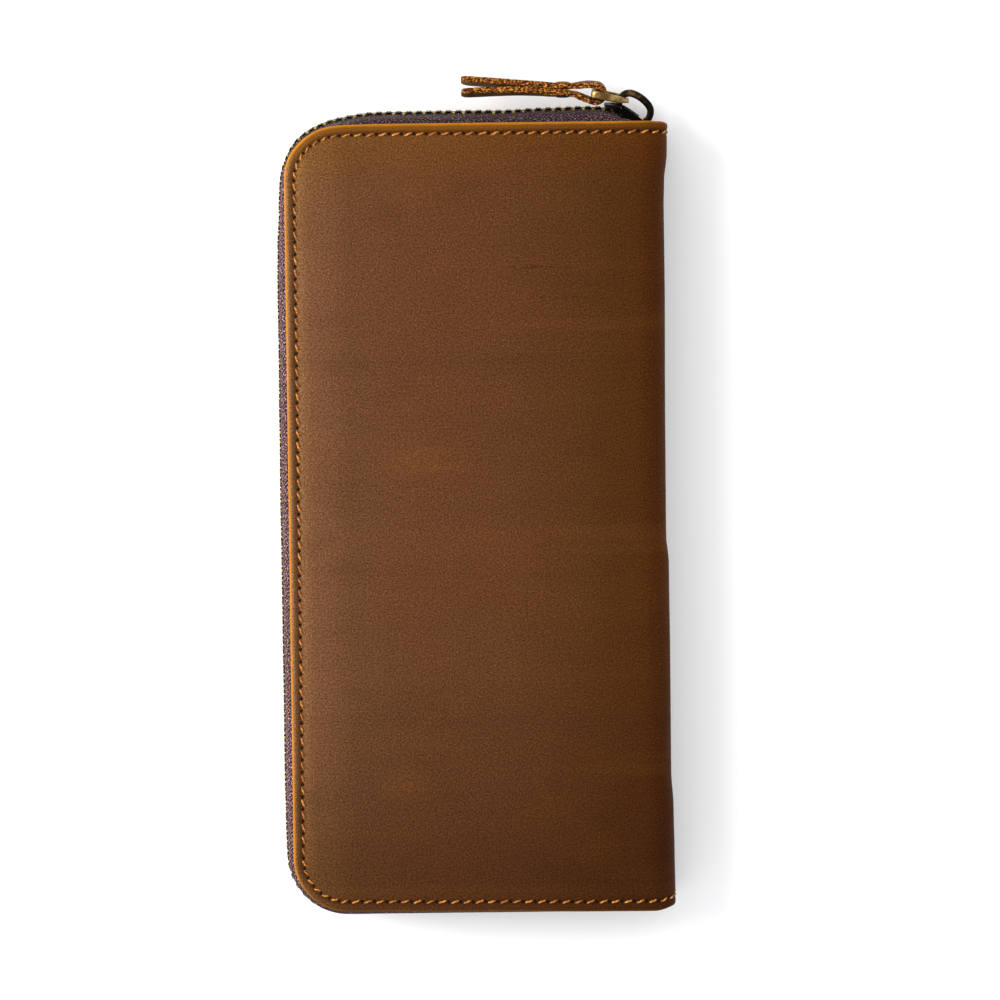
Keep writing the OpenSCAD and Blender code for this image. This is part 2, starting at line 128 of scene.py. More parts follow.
class Look:
    """A material under construction. Sockets are given as numbers, colours or other nodes' outputs."""

    def __init__(self, name, roughness=0.5, metallic=0.0, specular=0.5):
        self.mat = bpy.data.materials.new(name)
        self.mat.use_nodes = True
        self.tree = self.mat.node_tree
        self.bsdf = self.tree.nodes["Principled BSDF"]
        self.bsdf.inputs["Roughness"].default_value = roughness
        self.bsdf.inputs["Metallic"].default_value = metallic
        self.bsdf.inputs["Specular IOR Level"].default_value = specular

    def put(self, socket, value):
        if isinstance(value, bpy.types.NodeSocket):
            self.tree.links.new(value, socket)
        elif value is not None:
            socket.default_value = value

    def node(self, kind, inputs=None, **props):
        n = self.tree.nodes.new(kind)
        for key, value in props.items():
            setattr(n, key, value)
        for key, value in (inputs or {}).items():
            self.put(n.inputs[key], value)
        return n

    def place(self):
        return self.node("ShaderNodeTexCoord").outputs["Object"]

    def uv(self, name):
        return self.node("ShaderNodeUVMap", uv_map=name).outputs["UV"]

    def scaled(self, vector, scale, turn=0.0, shift=(0, 0, 0)):
        n = self.node("ShaderNodeMapping", {"Vector": vector, "Scale": scale})
        n.inputs["Rotation"].default_value = (0, 0, turn)
        n.inputs["Location"].default_value = shift
        return n.outputs["Vector"]

    def split(self, vector):
        n = self.node("ShaderNodeSeparateXYZ", {"Vector": vector})
        return n.outputs["X"], n.outputs["Y"], n.outputs["Z"]

    def math(self, op, a, b=None):
        n = self.node("ShaderNodeMath", {0: a, 1: b}, operation=op)
        return n.outputs[0]

    def mul(self, a, b):
        return self.math("MULTIPLY", a, b)

    def add(self, a, b):
        return self.math("ADD", a, b)

    def wave(self, value, length=1.0):
        return self.math("SINE", self.mul(value, 2 * math.pi / length))

    def gap(self, a, b):
        return self.math("ABSOLUTE", self.math("SUBTRACT", a, b))

    def noise(self, vector, scale, detail=3.0, rough=0.5, warp=0.0):
        n = self.node("ShaderNodeTexNoise", {
            "Vector": vector, "Scale": scale, "Detail": detail, "Roughness": rough, "Distortion": warp})
        return n.outputs["Fac"]

    def grain(self, vector, scale, detail=3, rough=0.5, warp=0.0, **move):
        """Noise with a scale of its own along each axis."""
        return self.noise(self.scaled(vector, scale, **move), 1.0, detail, rough, warp)

    def cells(self, vector, scale):
        return self.node("ShaderNodeTexVoronoi", {"Vector": vector, "Scale": scale}).outputs["Distance"]

    def ramp(self, value, low, high, to_low=0.0, to_high=1.0):
        """value from low..high mapped smoothly to to_low..to_high."""
        n = self.node("ShaderNodeMapRange", {
            "Value": value, "From Min": low, "From Max": high, "To Min": to_low, "To Max": to_high},
            interpolation_type="SMOOTHSTEP")
        return n.outputs["Result"]

    def mix(self, amount, a, b, mode="MIX"):
        n = self.node("ShaderNodeMix", data_type="RGBA", blend_type=mode)
        self.put(n.inputs[0], amount)
        self.put(n.inputs[6], a)
        self.put(n.inputs[7], b)
        return n.outputs[2]

    def cover(self, color, tone, amount):
        return self.mix(amount, color, srgb(tone))

    def over(self, color, tone, value, low, high, most):
        """color with up to that much of tone over it, as value goes from low to high."""
        return self.cover(color, tone, self.ramp(value, low, high, 0.0, most))

    def tint(self, color, rgb):
        return self.mix(1.0, color, rgb, "MULTIPLY")

    def table(self, value, stops):
        """Colours through (mm, colour) stops."""
        first, last = stops[0][0], stops[-1][0]
        n = self.node("ShaderNodeValToRGB", {"Fac": self.node("ShaderNodeMapRange", {
            "Value": value, "From Min": first * MM, "From Max": last * MM}).outputs["Result"]})
        for i, (at, color) in enumerate(stops):
            place = (at - first) / (last - first)
            if 0 < i < len(stops) - 1:
                stop = n.color_ramp.elements.new(place)
            else:
                stop = n.color_ramp.elements[0 if i == 0 else -1]
                stop.position = place
            stop.color = srgb(color) if isinstance(color, str) else (*color, 1)
        return n.outputs["Color"]

    def bump(self, height, depth, below=None, strength=1.0):
        n = self.node("ShaderNodeBump", {"Height": height, "Normal": below})
        n.inputs["Strength"].default_value = strength
        n.inputs["Distance"].default_value = depth
        return n.outputs["Normal"]

    def done(self, color=None, normal=None, roughness=None):
        self.put(self.bsdf.inputs["Base Color"], color)
        self.put(self.bsdf.inputs["Normal"], normal)
        self.put(self.bsdf.inputs["Roughness"], roughness)
        return self.mat


STITCH = SEAM / round(SEAM / 3.12)  # pitch of the stitches, mm
STITCH_N = 2.5      # inset of the stitch line
VALLEY = 2.1        # middle of the dark valley the stitches lie in
SLOPE = 1.7         # middle of the shaded slope between the rim and the valley, on the zip side
CREASE = 1.5        # creased line, in from the mouth of a pocket

# partly the hide's own pull-up tone, partly painted light from the lamps on the left and painted shade where the
# leather turns away round the spine
TONE_AND_LIGHT_ACROSS = [     # (unrolled x in mm, colour): paler by the zip, dark towards the spine
    (-47, "7e593a"), (-42, "68462e"), (-32, "593924"), (-15, "57351f"), (5, "52311b"), (20, "4c2c14"), (30, "47280d"),
    (40, "442408"), (46, "411f03"), (57, "452503")]
HIDE_ALONG = [      # (y in mm, brightness of red, green, blue)
    (-97, (0.60, 0.54, 0.34)), (-88, (0.64, 0.58, 0.42)), (-68, (0.80, 0.76, 0.68)), (-40, (0.95, 0.94, 0.92)),
    (0, (1.0, 1.0, 1.0)), (60, (1.0, 0.98, 0.95)), (84, (1.0, 1.0, 0.86)), (96, (1.20, 1.17, 0.66))]
HEADROOM = 1.3      # a colour ramp's stops stay under 1, so HIDE_ALONG goes in divided by this
HIDE_SPOTS = [      # (middle, half size in m, colour, strength)
    ((-0.0135, 0.0145), (0.0150, 0.0058), "7c4f0e", 0.34), ((-0.0131, 0.0817), (0.0110, 0.0060), "84500f", 0.15),
    ((0.0195, 0.0807), (0.0130, 0.0065), "84500f", 0.08), ((-0.0205, -0.0675), (0.0085, 0.0060), "784b12", 0.26),
    ((0.0150, 0.0632), (0.0125, 0.0008), "1f0f05", 0.85), ((0.0205, 0.0556), (0.0105, 0.0007), "1f0f05", 0.70)]


def outer_leather():
    """Oiled pull-up leather.

    UV map flat is the unrolled hide in metres; UV map seam is (distance along the edge, inset).
    """
    k = Look("outer_leather", roughness=0.60, specular=0.04)
    flat = k.uv("flat")
    u, y, _ = k.split(flat)
    x = k.math("SUBTRACT", U_END * MM, k.gap(U_END * MM, u))
    along, inset, _ = k.split(k.uv("seam"))
    broad = k.grain(flat, (14, 26, 1), 4, 0.55)
    clouds = k.grain(flat, (40, 75, 1), 5, 0.65, shift=(3, 7, 0))
    bands = k.grain(flat, (3.5, 90, 1), 3, 0.5, shift=(1, 2, 0))
    # the across table brings in painted light and shade along with the hide's tone
    color = k.table(x, TONE_AND_LIGHT_ACROSS)
    color = k.tint(color, k.table(y, [(at, [c / HEADROOM for c in rgb]) for at, rgb in HIDE_ALONG]))
    color = k.tint(color, (HEADROOM, HEADROOM, HEADROOM, 1))
    color = k.over(color, "643c12", broad, 0.50, 0.72, 0.16)
    color = k.over(color, "3f220f", clouds, 0.50, 0.30, 0.20)
    color = k.over(color, "35190a", bands, 0.50, 0.74, 0.14)
    color = k.over(color, "76491f", bands, 0.46, 0.28, 0.10)
    # rubbed amber flecks over a dark, fine grain
    grain = k.grain(flat, (2400, 2400, 1), 3, 0.65)
    color = k.mix(k.ramp(grain, 0.58, 0.35, 0.0, 0.90), color, k.tint(color, (0.38, 0.34, 0.26, 1)))
    fleck = k.grain(flat, (2300, 2300, 1), 3, 0.7, shift=(9, 4, 0))
    where = k.grain(flat, (90, 130, 1), 4, 0.65, shift=(5, 1, 0))
    amount = k.mul(k.ramp(fleck, 0.50, 0.66), k.ramp(where, 0.30, 0.75, 0.65, 1.0))
    color = k.mix(amount, color, k.tint(color, (2.0, 1.95, 1.7, 1)))
    # worn amber patches, two dark scuffs and thin scratches
    veins = k.ramp(k.grain(flat, (900, 1300, 1), 5, 0.75, 0.8, shift=(2, 6, 0)), 0.46, 0.60)
    for at, size, tone, most in HIDE_SPOTS:
        here = k.node("ShaderNodeCombineXYZ", {
            "X": k.math("DIVIDE", x, size[0]), "Y": k.math("DIVIDE", y, size[1])})
        middle = (at[0] / size[0], at[1] / size[1], 0)
        far = k.node("ShaderNodeVectorMath", {0: here.outputs[0], 1: middle}, operation="DISTANCE")
        spot = k.mul(k.ramp(far.outputs["Value"], 1.0, 0.1), veins)
        color = k.cover(color, tone, k.mul(spot, most))
    scratch = k.grain(flat, (24, 640, 1), 2, 0.4, turn=0.10)
    color = k.over(color, "80511d", scratch, 0.72, 0.80, 0.08)
    # amber edge and an orange-brown band along the top: the fold's own paler pull-up tone with a painted highlight
    # from the upper left on it, least of all along the bottom
    rim = k.add(inset, k.mul(k.grain(flat, (260, 260, 1), 3), 0.0004))
    lit = k.mul(k.ramp(y, -0.098, -0.086, 0.25, 1.0), k.ramp(x, 0.030, 0.050, 1.0, 0.45))
    upper = k.mul(k.ramp(y, 0.088, 0.095), k.ramp(x, -0.005, 0.030, 1.0, 0.45))
    left = k.ramp(x, -0.0440, -0.0462)
    color = k.cover(color, "6b3f08", k.mul(k.ramp(rim, 0.0024, 0.0010, 0.0, 0.75), upper))
    color = k.cover(color, "a8690f", k.mul(k.ramp(rim, 0.0009, 0.0001, 0.0, 0.90), lit))
    to_line = k.gap(inset, STITCH_N * MM)
    # painted shade in the valley the stitches lie in
    color = k.over(color, "2e1705", k.gap(inset, VALLEY * MM), 0.0009, 0.0002, 0.42)
    # painted shade on the slope between the rim and the valley, on the zip side
    slope = k.ramp(k.gap(inset, SLOPE * MM), 0.0010, 0.0006, 0.0, 0.48)
    color = k.cover(color, "321a07", k.mul(slope, left))
    # painted shade in the thread holes on the stitch line
    off = k.gap(k.math("FRACT", k.math("DIVIDE", along, STITCH * MM)), 0.5)
    squares = k.add(k.math("POWER", k.mul(off, STITCH * MM), 2.0), k.math("POWER", to_line, 2.0))
    hole = k.ramp(k.math("SQRT", squares), 0.00052, 0.00020, 0.0, 0.92)
    color = k.cover(color, "120702", hole)
    pores = k.cells(k.scaled(flat, (1700, 1700, 1)), 1.0)
    normal = k.bump(pores, 0.00008, strength=0.6)
    normal = k.bump(k.grain(flat, (620, 620, 1), 4, 0.6), 0.00014, normal, 0.6)
    normal = k.bump(k.math("SUBTRACT", 1.0, hole), 0.0004, normal, 0.8)
    return k.done(color, normal, k.ramp(clouds, 0.3, 0.8, 0.68, 0.52))


def plain_leather(name, light, dark, edge=None, scale=1.0, spec=0.2, panel=False):
    """Thin smooth leather. With panel, UV map panel is (distance in from the mouth, y)."""
    k = Look(name, roughness=0.55, specular=spec)
    p = k.place()
    cloud = k.noise(p, 28 * scale, 3, 0.5)
    color = k.mix(k.ramp(cloud, 0.30, 0.75), srgb(dark), srgb(light))
    fine = k.noise(p, 1700 * scale, 3, 0.6)
    color = k.over(color, edge or light, fine, 0.55, 0.8, 0.40)
    color = k.over(color, "1c0f06", fine, 0.45, 0.25, 0.45)
    if panel:
        inward, _, _ = k.split(k.uv("panel"))
        color = k.over(color, "2a1608", inward, 0.0009, 0.0001, 0.7)
        color = k.over(color, "2a1608", k.gap(inward, CREASE * MM), 0.0005, 0.0001, 0.55)
    pores = k.cells(p, 1400 * scale)
    normal = k.bump(pores, 0.00006, strength=0.6)
    normal = k.bump(k.noise(p, 500 * scale, 3), 0.00010, normal, 0.6)
    return k.done(color, normal, k.ramp(cloud, 0.3, 0.8, 0.62, 0.50))


def raw_edge():
    """Cut edge of the strap: orange-brown fibres over dark brown lumps."""
    k = Look("strap_raw_edge", roughness=0.72, specular=0.1)
    p = k.place()
    fibre = k.grain(p, (1500, 2400, 2400), 4, 0.7)
    lumps = k.cells(k.scaled(p, (1100, 2000, 2000)), 1.0)
    color = k.mix(k.ramp(lumps, 0.20, 0.75), srgb("61300b"), srgb("1a0a03"))
    color = k.over(color, "c97c26", fibre, 0.50, 0.60, 0.95)
    color = k.over(color, "ffc46e", fibre, 0.60, 0.70, 0.95)
    color = k.over(color, "0e0501", fibre, 0.46, 0.36, 0.95)
    normal = k.bump(fibre, 0.00030, strength=0.9)
    normal = k.bump(lumps, 0.0003, normal, 0.6)
    return k.done(color, normal)


def thread():
    """Waxed thread: twisted strands along UV map lay."""
    k = Look("waxed_thread", roughness=0.5, specular=0.3)
    u, v, _ = k.split(k.uv("lay"))
    twist = k.math("SINE", k.add(k.mul(u, 5200.0), k.mul(v, 2 * math.pi)))
    tone = k.noise(k.place(), 260, 2)
    color = k.mix(k.ramp(tone, 0.35, 0.7), srgb("9c5612"), srgb("d08534"))
    color = k.over(color, "3f1c06", twist, 0.1, -0.9, 0.65)
    return k.done(color, k.bump(twist, 0.00006, strength=0.7))


def zip_tape(name, base, light, pitch=1.05, band=1.7, wear_and_side_light=True):
    """Herringbone tape. UV map weave is (along, across) in metres; the last switch paints light on it along the zip
    side and shade along the top and bottom runs.
    """
    k = Look(name, roughness=0.8, specular=0.15)
    weave = k.uv("weave")
    u, v, _ = k.split(weave)
    across = k.math("PINGPONG", k.math("DIVIDE", v, band * MM), 1.0)
    phase = k.add(k.math("DIVIDE", u, pitch * MM), k.mul(across, 1.6))
    wobble = k.mul(k.grain(weave, (700, 700, 1), 3, 0.6), 0.7)
    rib = k.wave(k.add(phase, wobble))
    threads = k.wave(k.add(v, k.mul(wobble, 0.0002)), 0.40 * MM)
    high = k.mul(k.ramp(rib, -0.30, 0.65), k.ramp(threads, -0.8, 0.7, 0.40, 1.0))
    color = k.mix(high, srgb(base), srgb(light))
    lint = k.grain(weave, (2100, 2100, 1), 2, 0.7)
    color = k.over(color, "c4a4aa", lint, 0.56, 0.68, 0.95)
    color = k.over(color, "060304", lint, 0.48, 0.33, 0.95)
    if wear_and_side_light:
        # painted light along the zip side, which faces the low side lamp, and painted shade along the top and bottom
        # runs
        to_middle = k.gap(u, SEAM / 2 * MM)
        side_lit = k.ramp(to_middle, (SIDE / 2 + ARC * 0.7) * MM, (SIDE / 2 - 4) * MM, 0.0, 1.0)
        color = k.tint(color, k.mix(side_lit, (0.62, 0.58, 0.60, 1), (1.28, 1.16, 1.16, 1)))
    return k.done(color, k.bump(high, 0.00030, strength=1.0))


def metal(name, dark, light, roughness=0.4, wear_and_side_light=0.5, grain=(900, 900, 900), scale=350):
    """Antiqued metal: dark patina, rubbed bright where the noise is high."""
    k = Look(name, roughness=roughness, metallic=1.0)
    p = k.place()
    cloud = k.noise(p, scale, 4, 0.65)
    brush = k.grain(p, grain, 3, 0.6)
    color = k.mix(k.ramp(cloud, 0.62 - 0.3 * wear_and_side_light, 0.78 - 0.2 * wear_and_side_light), srgb(dark), srgb(light))
    color = k.over(color, dark, brush, 0.55, 0.35, 0.5)
    normal = k.bump(brush, 0.00004, strength=0.6)
    return k.done(color, normal, k.ramp(cloud, 0.3, 0.8, roughness + 0.15, roughness - 0.08))


def cloth(name, dark, light):
    """Fine twill."""
    k = Look(name, roughness=0.9, specular=0.15)
    pitch = 0.5
    x, y, _ = k.split(k.place())
    twill = k.wave(k.add(x, y), pitch * MM)
    cross = k.wave(k.math("SUBTRACT", x, y), pitch * 0.7 * MM)
    high = k.mul(k.ramp(twill, -0.8, 0.9), k.ramp(cross, -0.9, 0.6, 0.5, 1.0))
    color = k.mix(high, srgb(dark), srgb(light))
    color = k.over(color, light, k.noise(k.place(), 60, 3), 0.4, 0.8, 0.35)
    return k.done(color, k.bump(high, 0.0001, strength=0.7))


def board():
    k = Look("pressed_board", roughness=0.9, specular=0.1)
    p = k.place()
    fibre = k.grain(p, (300, 900, 300), 4, 0.7)
    return k.done(k.mix(k.ramp(fibre, 0.4, 0.7), srgb("8a7350"), srgb("b59c74")), k.bump(fibre, 0.0001))


def floor_look():
    k = Look("studio_floor", roughness=0.9, specular=0.1)
    tone = k.noise(k.place(), 3, 2)
    return k.done(k.mix(tone, (0.90, 0.90, 0.90, 1), (0.93, 0.93, 0.93, 1)))


M = {
    "leather": outer_leather(),
    "pocket": plain_leather("pocket_leather", "5f3a1d", "4b2b12", "7d5430", panel=True),
    "coin": plain_leather("coin_leather", "56331a", "42250f", "75492a"),
    "dark_edge": plain_leather("burnished_edge", "3a2112", "29160b"),
    "strap_face": plain_leather("strap_grain", "6a450e", "3b2405", "7c551a", 1.5, 0.1),
    "strap_edge": raw_edge(),
    "thread": thread(),
    "tape": zip_tape("herringbone_tape", "0a0405", "6e4d53"),
    "coin_tape": zip_tape("coin_zip_tape_weave", "1b1114", "4c3c42", 0.7, 1.1, False),
    "tooth": metal("tooth_brass", "574621", "a8924e", 0.40, 0.80, scale=900),
    "tooth_side": metal("tooth_patina", "110d08", "3b3019", 0.55, 0.25, scale=900),
    "gun": metal("slider_gunmetal", "14110e", "4c4438", 0.30, 0.35),
    "crown": metal("crown_antique", "1c140d", "725a3a", 0.34, 0.36),
    "link": metal("link_brushed", "5d4826", "ad9260", 0.34, 0.8, (250, 4200, 4200)),
    "rivet": metal("rivet_metal", "4a443a", "a39a88", 0.36, 0.6),
    "lining": cloth("lining_twill", "1d1410", "45342a"),
    "board": board(),
}

# ---- mesh helpers ----


def round_edges(bm, by, angle):
    """Rounds the edges that turn by more than angle, between faces of the first material."""
    sharp = [e for e in bm.edges if len(e.link_faces) == 2 and e.calc_face_angle(0) > math.radians(angle)
             and all(f.material_index == 0 for f in e.link_faces)]
    bmesh.ops.bevel(bm, geom=sharp, offset=by * MM, segments=2, affect="EDGES", clamp_overlap=True)


def settle(name, bm, me, angle):
    """Writes bm to the mesh, smooth up to that angle, and adds it to the scene."""
    bm.to_mesh(me)
    bm.free()
    me.polygons.foreach_set("use_smooth", [True] * len(me.polygons))
    me.set_sharp_from_angle(angle=math.radians(angle))
    return add_object(name, me)


def build(name, verts, faces, materials, uvs=None, face_slots=None, merge=False, angle=38, bevel=0.0):
    """A mesh object from points in mm. uvs is {map name: [(u, v) in metres, one per point]}."""
    me = bpy.data.meshes.new(name)
    me.from_pydata([(x * MM, y * MM, z * MM) for x, y, z in verts], [], faces)
    for m in materials:
        me.materials.append(m)
    if face_slots:
        me.polygons.foreach_set("material_index", face_slots)
    for key, values in (uvs or {}).items():
        layer = me.uv_layers.new(name=key)
        flat = [c for loop in me.loops for c in values[loop.vertex_index]]
        layer.data.foreach_set("uv", flat)
    bm = bmesh.new()
    bm.from_mesh(me)
    if merge:
        bmesh.ops.remove_doubles(bm, verts=bm.verts, dist=1e-6)
        bmesh.ops.dissolve_degenerate(bm, edges=bm.edges, dist=1e-7)
    bmesh.ops.recalc_face_normals(bm, faces=bm.faces)
    if bevel:
        round_edges(bm, bevel, 70)
    return settle(name, bm, me, angle)


def dress(piece, nodes, slot, body=None):
    """Hides the CAD nodes a piece replaces and parents it to the empty of the body it rides on; slot is not used."""
    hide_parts(*nodes.split())
    if body:
        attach(piece, body)


def box_mm(node):
    return [[c / MM for c in corner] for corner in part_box(node)]


class Parts:
    """Points, faces, material slots and UVs that grow into one mesh."""

    def __init__(self):
        self.verts, self.faces, self.slots, self.uv = [], [], [], []

    def add(self, verts, faces, slot=0, uv=None):
        base = len(self.verts)
        self.verts += verts
        self.faces += [tuple(base + i for i in f) for f in faces]
        self.slots += [slot] * len(faces) if isinstance(slot, int) else slot
        self.uv += uv if uv else [(0.0, 0.0)] * len(verts)

    def loft(self, rings, slot=0, uv=None, closed=False):
        """Joins equal rings of points, capped unless closed. slot may be a function of (ring, point)."""
        n = len(rings[0])
        verts = [p for ring in rings for p in ring]
        faces, slots = [], []
        for i in range(len(rings) if closed else len(rings) - 1):
            a, b = i * n, (i + 1) % len(rings) * n
            for j in range(n):
                k = (j + 1) % n
                faces.append((a + j, a + k, b + k, b + j))
                slots.append(slot(i, j) if callable(slot) else slot)
        if not closed:
            faces += [tuple(range(n - 1, -1, -1)), tuple(range(len(verts) - n, len(verts)))]
            slots += [slots[0], slots[-1]]
        self.add(verts, faces, slots, uv)

    def out(self, name, materials, uv_name=None, **more):
        uvs = {uv_name: self.uv} if uv_name else None
        return build(name, self.verts, self.faces, materials, uvs, self.slots, **more)


def smooth(a, b, x):
    t = min(1.0, max(0.0, (x - a) / (b - a)))
    return t * t * (3 - 2 * t)


def table(points, x):
    """Smooth value at x through (x, value) points."""
    if x <= points[0][0]:
        return points[0][1]
    for (x0, y0), (x1, y1) in zip(points, points[1:]):
        if x <= x1:
            return y0 + (y1 - y0) * smooth(x0, x1, x)
    return points[-1][1]


def spline(points, steps):
    """A smooth curve through points, with that many steps between neighbours."""
    out = []
    last = len(points) - 1
    for i in range(last):
        p = [Vector(points[max(0, min(last, i + d))]) for d in (-1, 0, 1, 2)]
        for s in range(steps):
            t = s / steps
            out.append(0.5 * (2 * p[1] + (p[2] - p[0]) * t + (2 * p[0] - 5 * p[1] + 4 * p[2] - p[3]) * t * t
                              + (3 * p[1] - p[0] - 3 * p[2] + p[3]) * t ** 3))
    out.append(Vector(points[-1]))
    return out


def rounded(points, r, steps=4):
    """A polygon with its corners rounded."""
    out = []
    n = len(points)
    for i in range(n):
        p, a, b = (Vector(points[(i + d) % n]) for d in (0, -1, 1))
        ra = min(r, (a - p).length * 0.45)
        rb = min(r, (b - p).length * 0.45)
        s, e = p + (a - p).normalized() * ra, p + (b - p).normalized() * rb
        for k in range(steps + 1):
            t = k / steps
            q = s * (1 - t) ** 2 + p * 2 * t * (1 - t) + e * t * t
            out.append((q.x, q.y))
    return out


def ripple(x, y, size, seed=0.0):
    return noise.noise(Vector((x / size, y / size, seed)))


def circle(count, turn=0.0):
    """(cosine, sine) at equal angles; turn is a part of one step."""
    angles = [2 * math.pi * (j + turn) / count for j in range(count)]
    return [(math.cos(a), math.sin(a)) for a in angles]


def bar_ring(p, side, up, wide, tall, power, count):
    """A squarish rounded section about p, wide along side and tall along up."""
    def bulge(v):
        return math.copysign(abs(v) ** (2 / power), v)
    return [tuple(p + side * (wide * bulge(c)) + up * (tall * bulge(s))) for c, s in circle(count, 0.5)]


def on_side(p, front):
    """A point drawn for the front cover, or its mirror image on the back cover."""
    return p if front else (p[0], p[1], T - p[2])


def turn_over(parts):
    parts.verts = [on_side(p, False) for p in parts.verts]


# ---- the outline of the covers ----


def outline(s):
    """Point of the cover's edge at distance s from the middle of the spine, as (u, y, outward u, outward y)."""
    if s > SEAM / 2:
        u, y, nu, ny = outline(SEAM - s)
        return u, -y, nu, -ny
    if s <= RUN:
        return U_END - s, END, 0.0, 1.0
    if s <= RUN + ARC:
        a = math.pi / 2 + (s - RUN) / CORNER
        return CORNER_X + CORNER * math.cos(a), CORNER_Y + CORNER * math.sin(a), math.cos(a), math.sin(a)
    return LEFT, CORNER_Y - (s - RUN - ARC), -1.0, 0.0


def pinch(u, y):
    """How far the spine is drawn in between its stiff ends."""
    depth = table([(-99.5, 0.0), (-86, 0.15), (-74, 0.3), (-66, 0.8), (-34, 0.75), (-12, 0.85), (-6, 1.45),
                   (20, 1.4), (60, 1.15), (78, 1.2), (84, 1.05), (91, 0.3), (99.5, 0.0)], y)
    return depth * smooth(26, 45, u)


# how far the top and bottom edges are drawn in, at each unrolled x: at the zip corners and at the ends of the spine
DRAWN_TOP = [(LEFT, 0.2), (-44, 0.5), (-38, 0.4), (-30, 0.1), (-24, 0.0), (43, 0.0), (46.7, 0.28),
             (51.4, 0.95), (U_END, 1.75)]
DRAWN_BACK = [(LEFT, 0.8), (-44, 2.5), (-38, 2.5), (-30, 1.3), (-18, 0.0), (35, 0.0), (41, 1.7), (46, 2.6),
              (51.4, 2.4), (U_END, 1.75)]
DRAWN_BOTTOM = [(CORNER_X, 0.0), (0, -0.40), (30, -0.75), (43, -0.80), (49, -0.1), (U_END, 0.8)]


def hide_point(u, y, h, front=True):
    """A point of the hide: u unrolled, h above the outer face, at rest on the front half."""
    drawn = DRAWN_BOTTOM if y < 0 else DRAWN_TOP if front else DRAWN_BACK
    y -= table(drawn, u) * smooth(74, 99, abs(y)) * math.copysign(1, y)
    drawn = pinch(u, y)
    if u <= BEND:
        return (u - drawn, y, T + h)
    if u <= BEND + TURN:
        a = (u - BEND) / BEND_R
        r = BEND_R + h
        return (BEND + r * math.sin(a) - drawn, y, T - BEND_R + r * math.cos(a))
    return (SPINE + h - drawn, y, T - BEND_R - (u - BEND - TURN))


def columns():
    flat = [BEND - i * (BEND - CORNER_X) / 32 for i in range(1, 33)]
    bend = [BEND + TURN * i / 10 for i in range(10, -1, -1)]
    spine = [U_END - i * (U_END - BEND - TURN) / 3 for i in range(3)]
    return spine + bend + flat


ROWS = [CORNER_Y - i * 2 * CORNER_Y / 72 for i in range(73)]
BENDS = 22          # steps round a corner


def stations():
    """Distances along the edge where the rings stand."""
    cols = [U_END - u for u in columns()]
    arc = [RUN + ARC * i / BENDS for i in range(1, BENDS)]
    side = [RUN + ARC + (CORNER_Y - y) for y in ROWS]
    half = cols + arc
    return half + side + [SEAM - s for s in reversed(half)]


def layer(name, profile, lift, low, look, front=True):
    """A closed layer of a cover that runs on over the bend to the middle of the spine.

    profile is the edge, as (inset, height) from the inner face to the outer face, both at inset CORNER;
    lift(u, y) is the outer face's extra height and low the inner face's height.
    """
    verts, faces, flat, seam = [], [], [], []
    high = profile[-1][1]

    def point(u, y, h, s, n):
        verts.append(hide_point(u, y, h, front))
        flat.append(((u if front else 2 * U_END - u) * MM, y * MM))
        seam.append((s * MM, n * MM))
        return len(verts) - 1

    def lifted(u, y, n, h):
        return h + lift(u, y) * smooth(3.2, 12, n) if h > (high + low) / 2 and n > 3.2 else h

    def skin(rows):
        for a, b in zip(rows, rows[1:]):
            for j in range(len(a) - 1):
                faces.append((a[j], a[j + 1], b[j + 1], b[j]))

    rings = []
    for s in stations():
        bu, by, nu, ny = outline(s)
        row = []
        for n, h in profile:
            u, y = bu - nu * n, by - ny * n
            row.append(point(u, y, lifted(u, y, n, h), s, n))
        rings.append(row)
    skin(rings)
    faces += [tuple(rings[0]), tuple(rings[-1])]
    # inside the rings, the outer face and the inner face, joined at the middle of the spine
    far = 99
    outer = [[point(u, y, lifted(u, y, far, high), 0, 30) for y in ROWS] for u in columns()]
    inner = [[point(u, y, low, 0, 30) for y in ROWS] for u in columns()]
    skin(outer)
    skin(inner)
    skin([outer[0], inner[0]])
    verts = [on_side(p, front) for p in verts]
    return build(name, verts, faces, [look], {"flat": flat, "seam": seam}, merge=True)


def swell(amount, dents):
    """The soft crown of a cover, flat again where the leather turns round the spine."""
    def lift(u, y):
        flatness = 1 - smooth(30, 46, u)
        side = smooth(-48, -20, u) * smooth(-99.5, -70, y) * smooth(-99.5, -70, -y)
        dent = dents * ripple(u, y, 34, 3.0) + 0.4 * dents * ripple(u, y, 13, 8.0)
        return (amount * side + dent) * flatness
    return lift


def no_lift(u, y):
    return 0.0


EDGE = [  # (inset, height): the hide's turned edge, then the stitch valley
    (CORNER, -1.5), (8, -1.5), (3.0, -1.5), (1.2, -1.52), (0.35, -1.46), (0.0, -1.18), (-0.07, -0.82),
    (-0.03, -0.45), (0.16, -0.12), (0.5, 0.06), (0.95, 0.13), (1.45, 0.10), (1.9, -0.04), (2.2, -0.2),
    (2.5, -0.27), (2.8, -0.2), (3.15, -0.05), (3.7, 0.06), (4.6, 0.12), (6.2, 0.15), (8.6, 0.15), (11, 0.15),
    (CORNER, 0.15)]
BACK_EDGE = [(n, min(h, 0.0) if h > -0.3 else h) for n, h in EDGE]  # it lies flat
LINING = -2.7       # the lining's inner face
LINING_EDGE = [(CORNER, LINING), (6, LINING), (3.2, -2.68), (3.0, -2.45), (3.2, -2.22), (6, -2.2), (CORNER, -2.2)]

HIDES = [layer("front_hide", EDGE, swell(0.55, 0.16), -LEATHER, M["leather"]),
         layer("back_hide", BACK_EDGE, no_lift, -LEATHER, M["leather"], False)]
LININGS = [layer("front_lining_cloth", LINING_EDGE, no_lift, LINING, M["lining"]),
           layer("back_lining_cloth", LINING_EDGE, no_lift, LINING, M["lining"], False)]

# ---- stitches ----


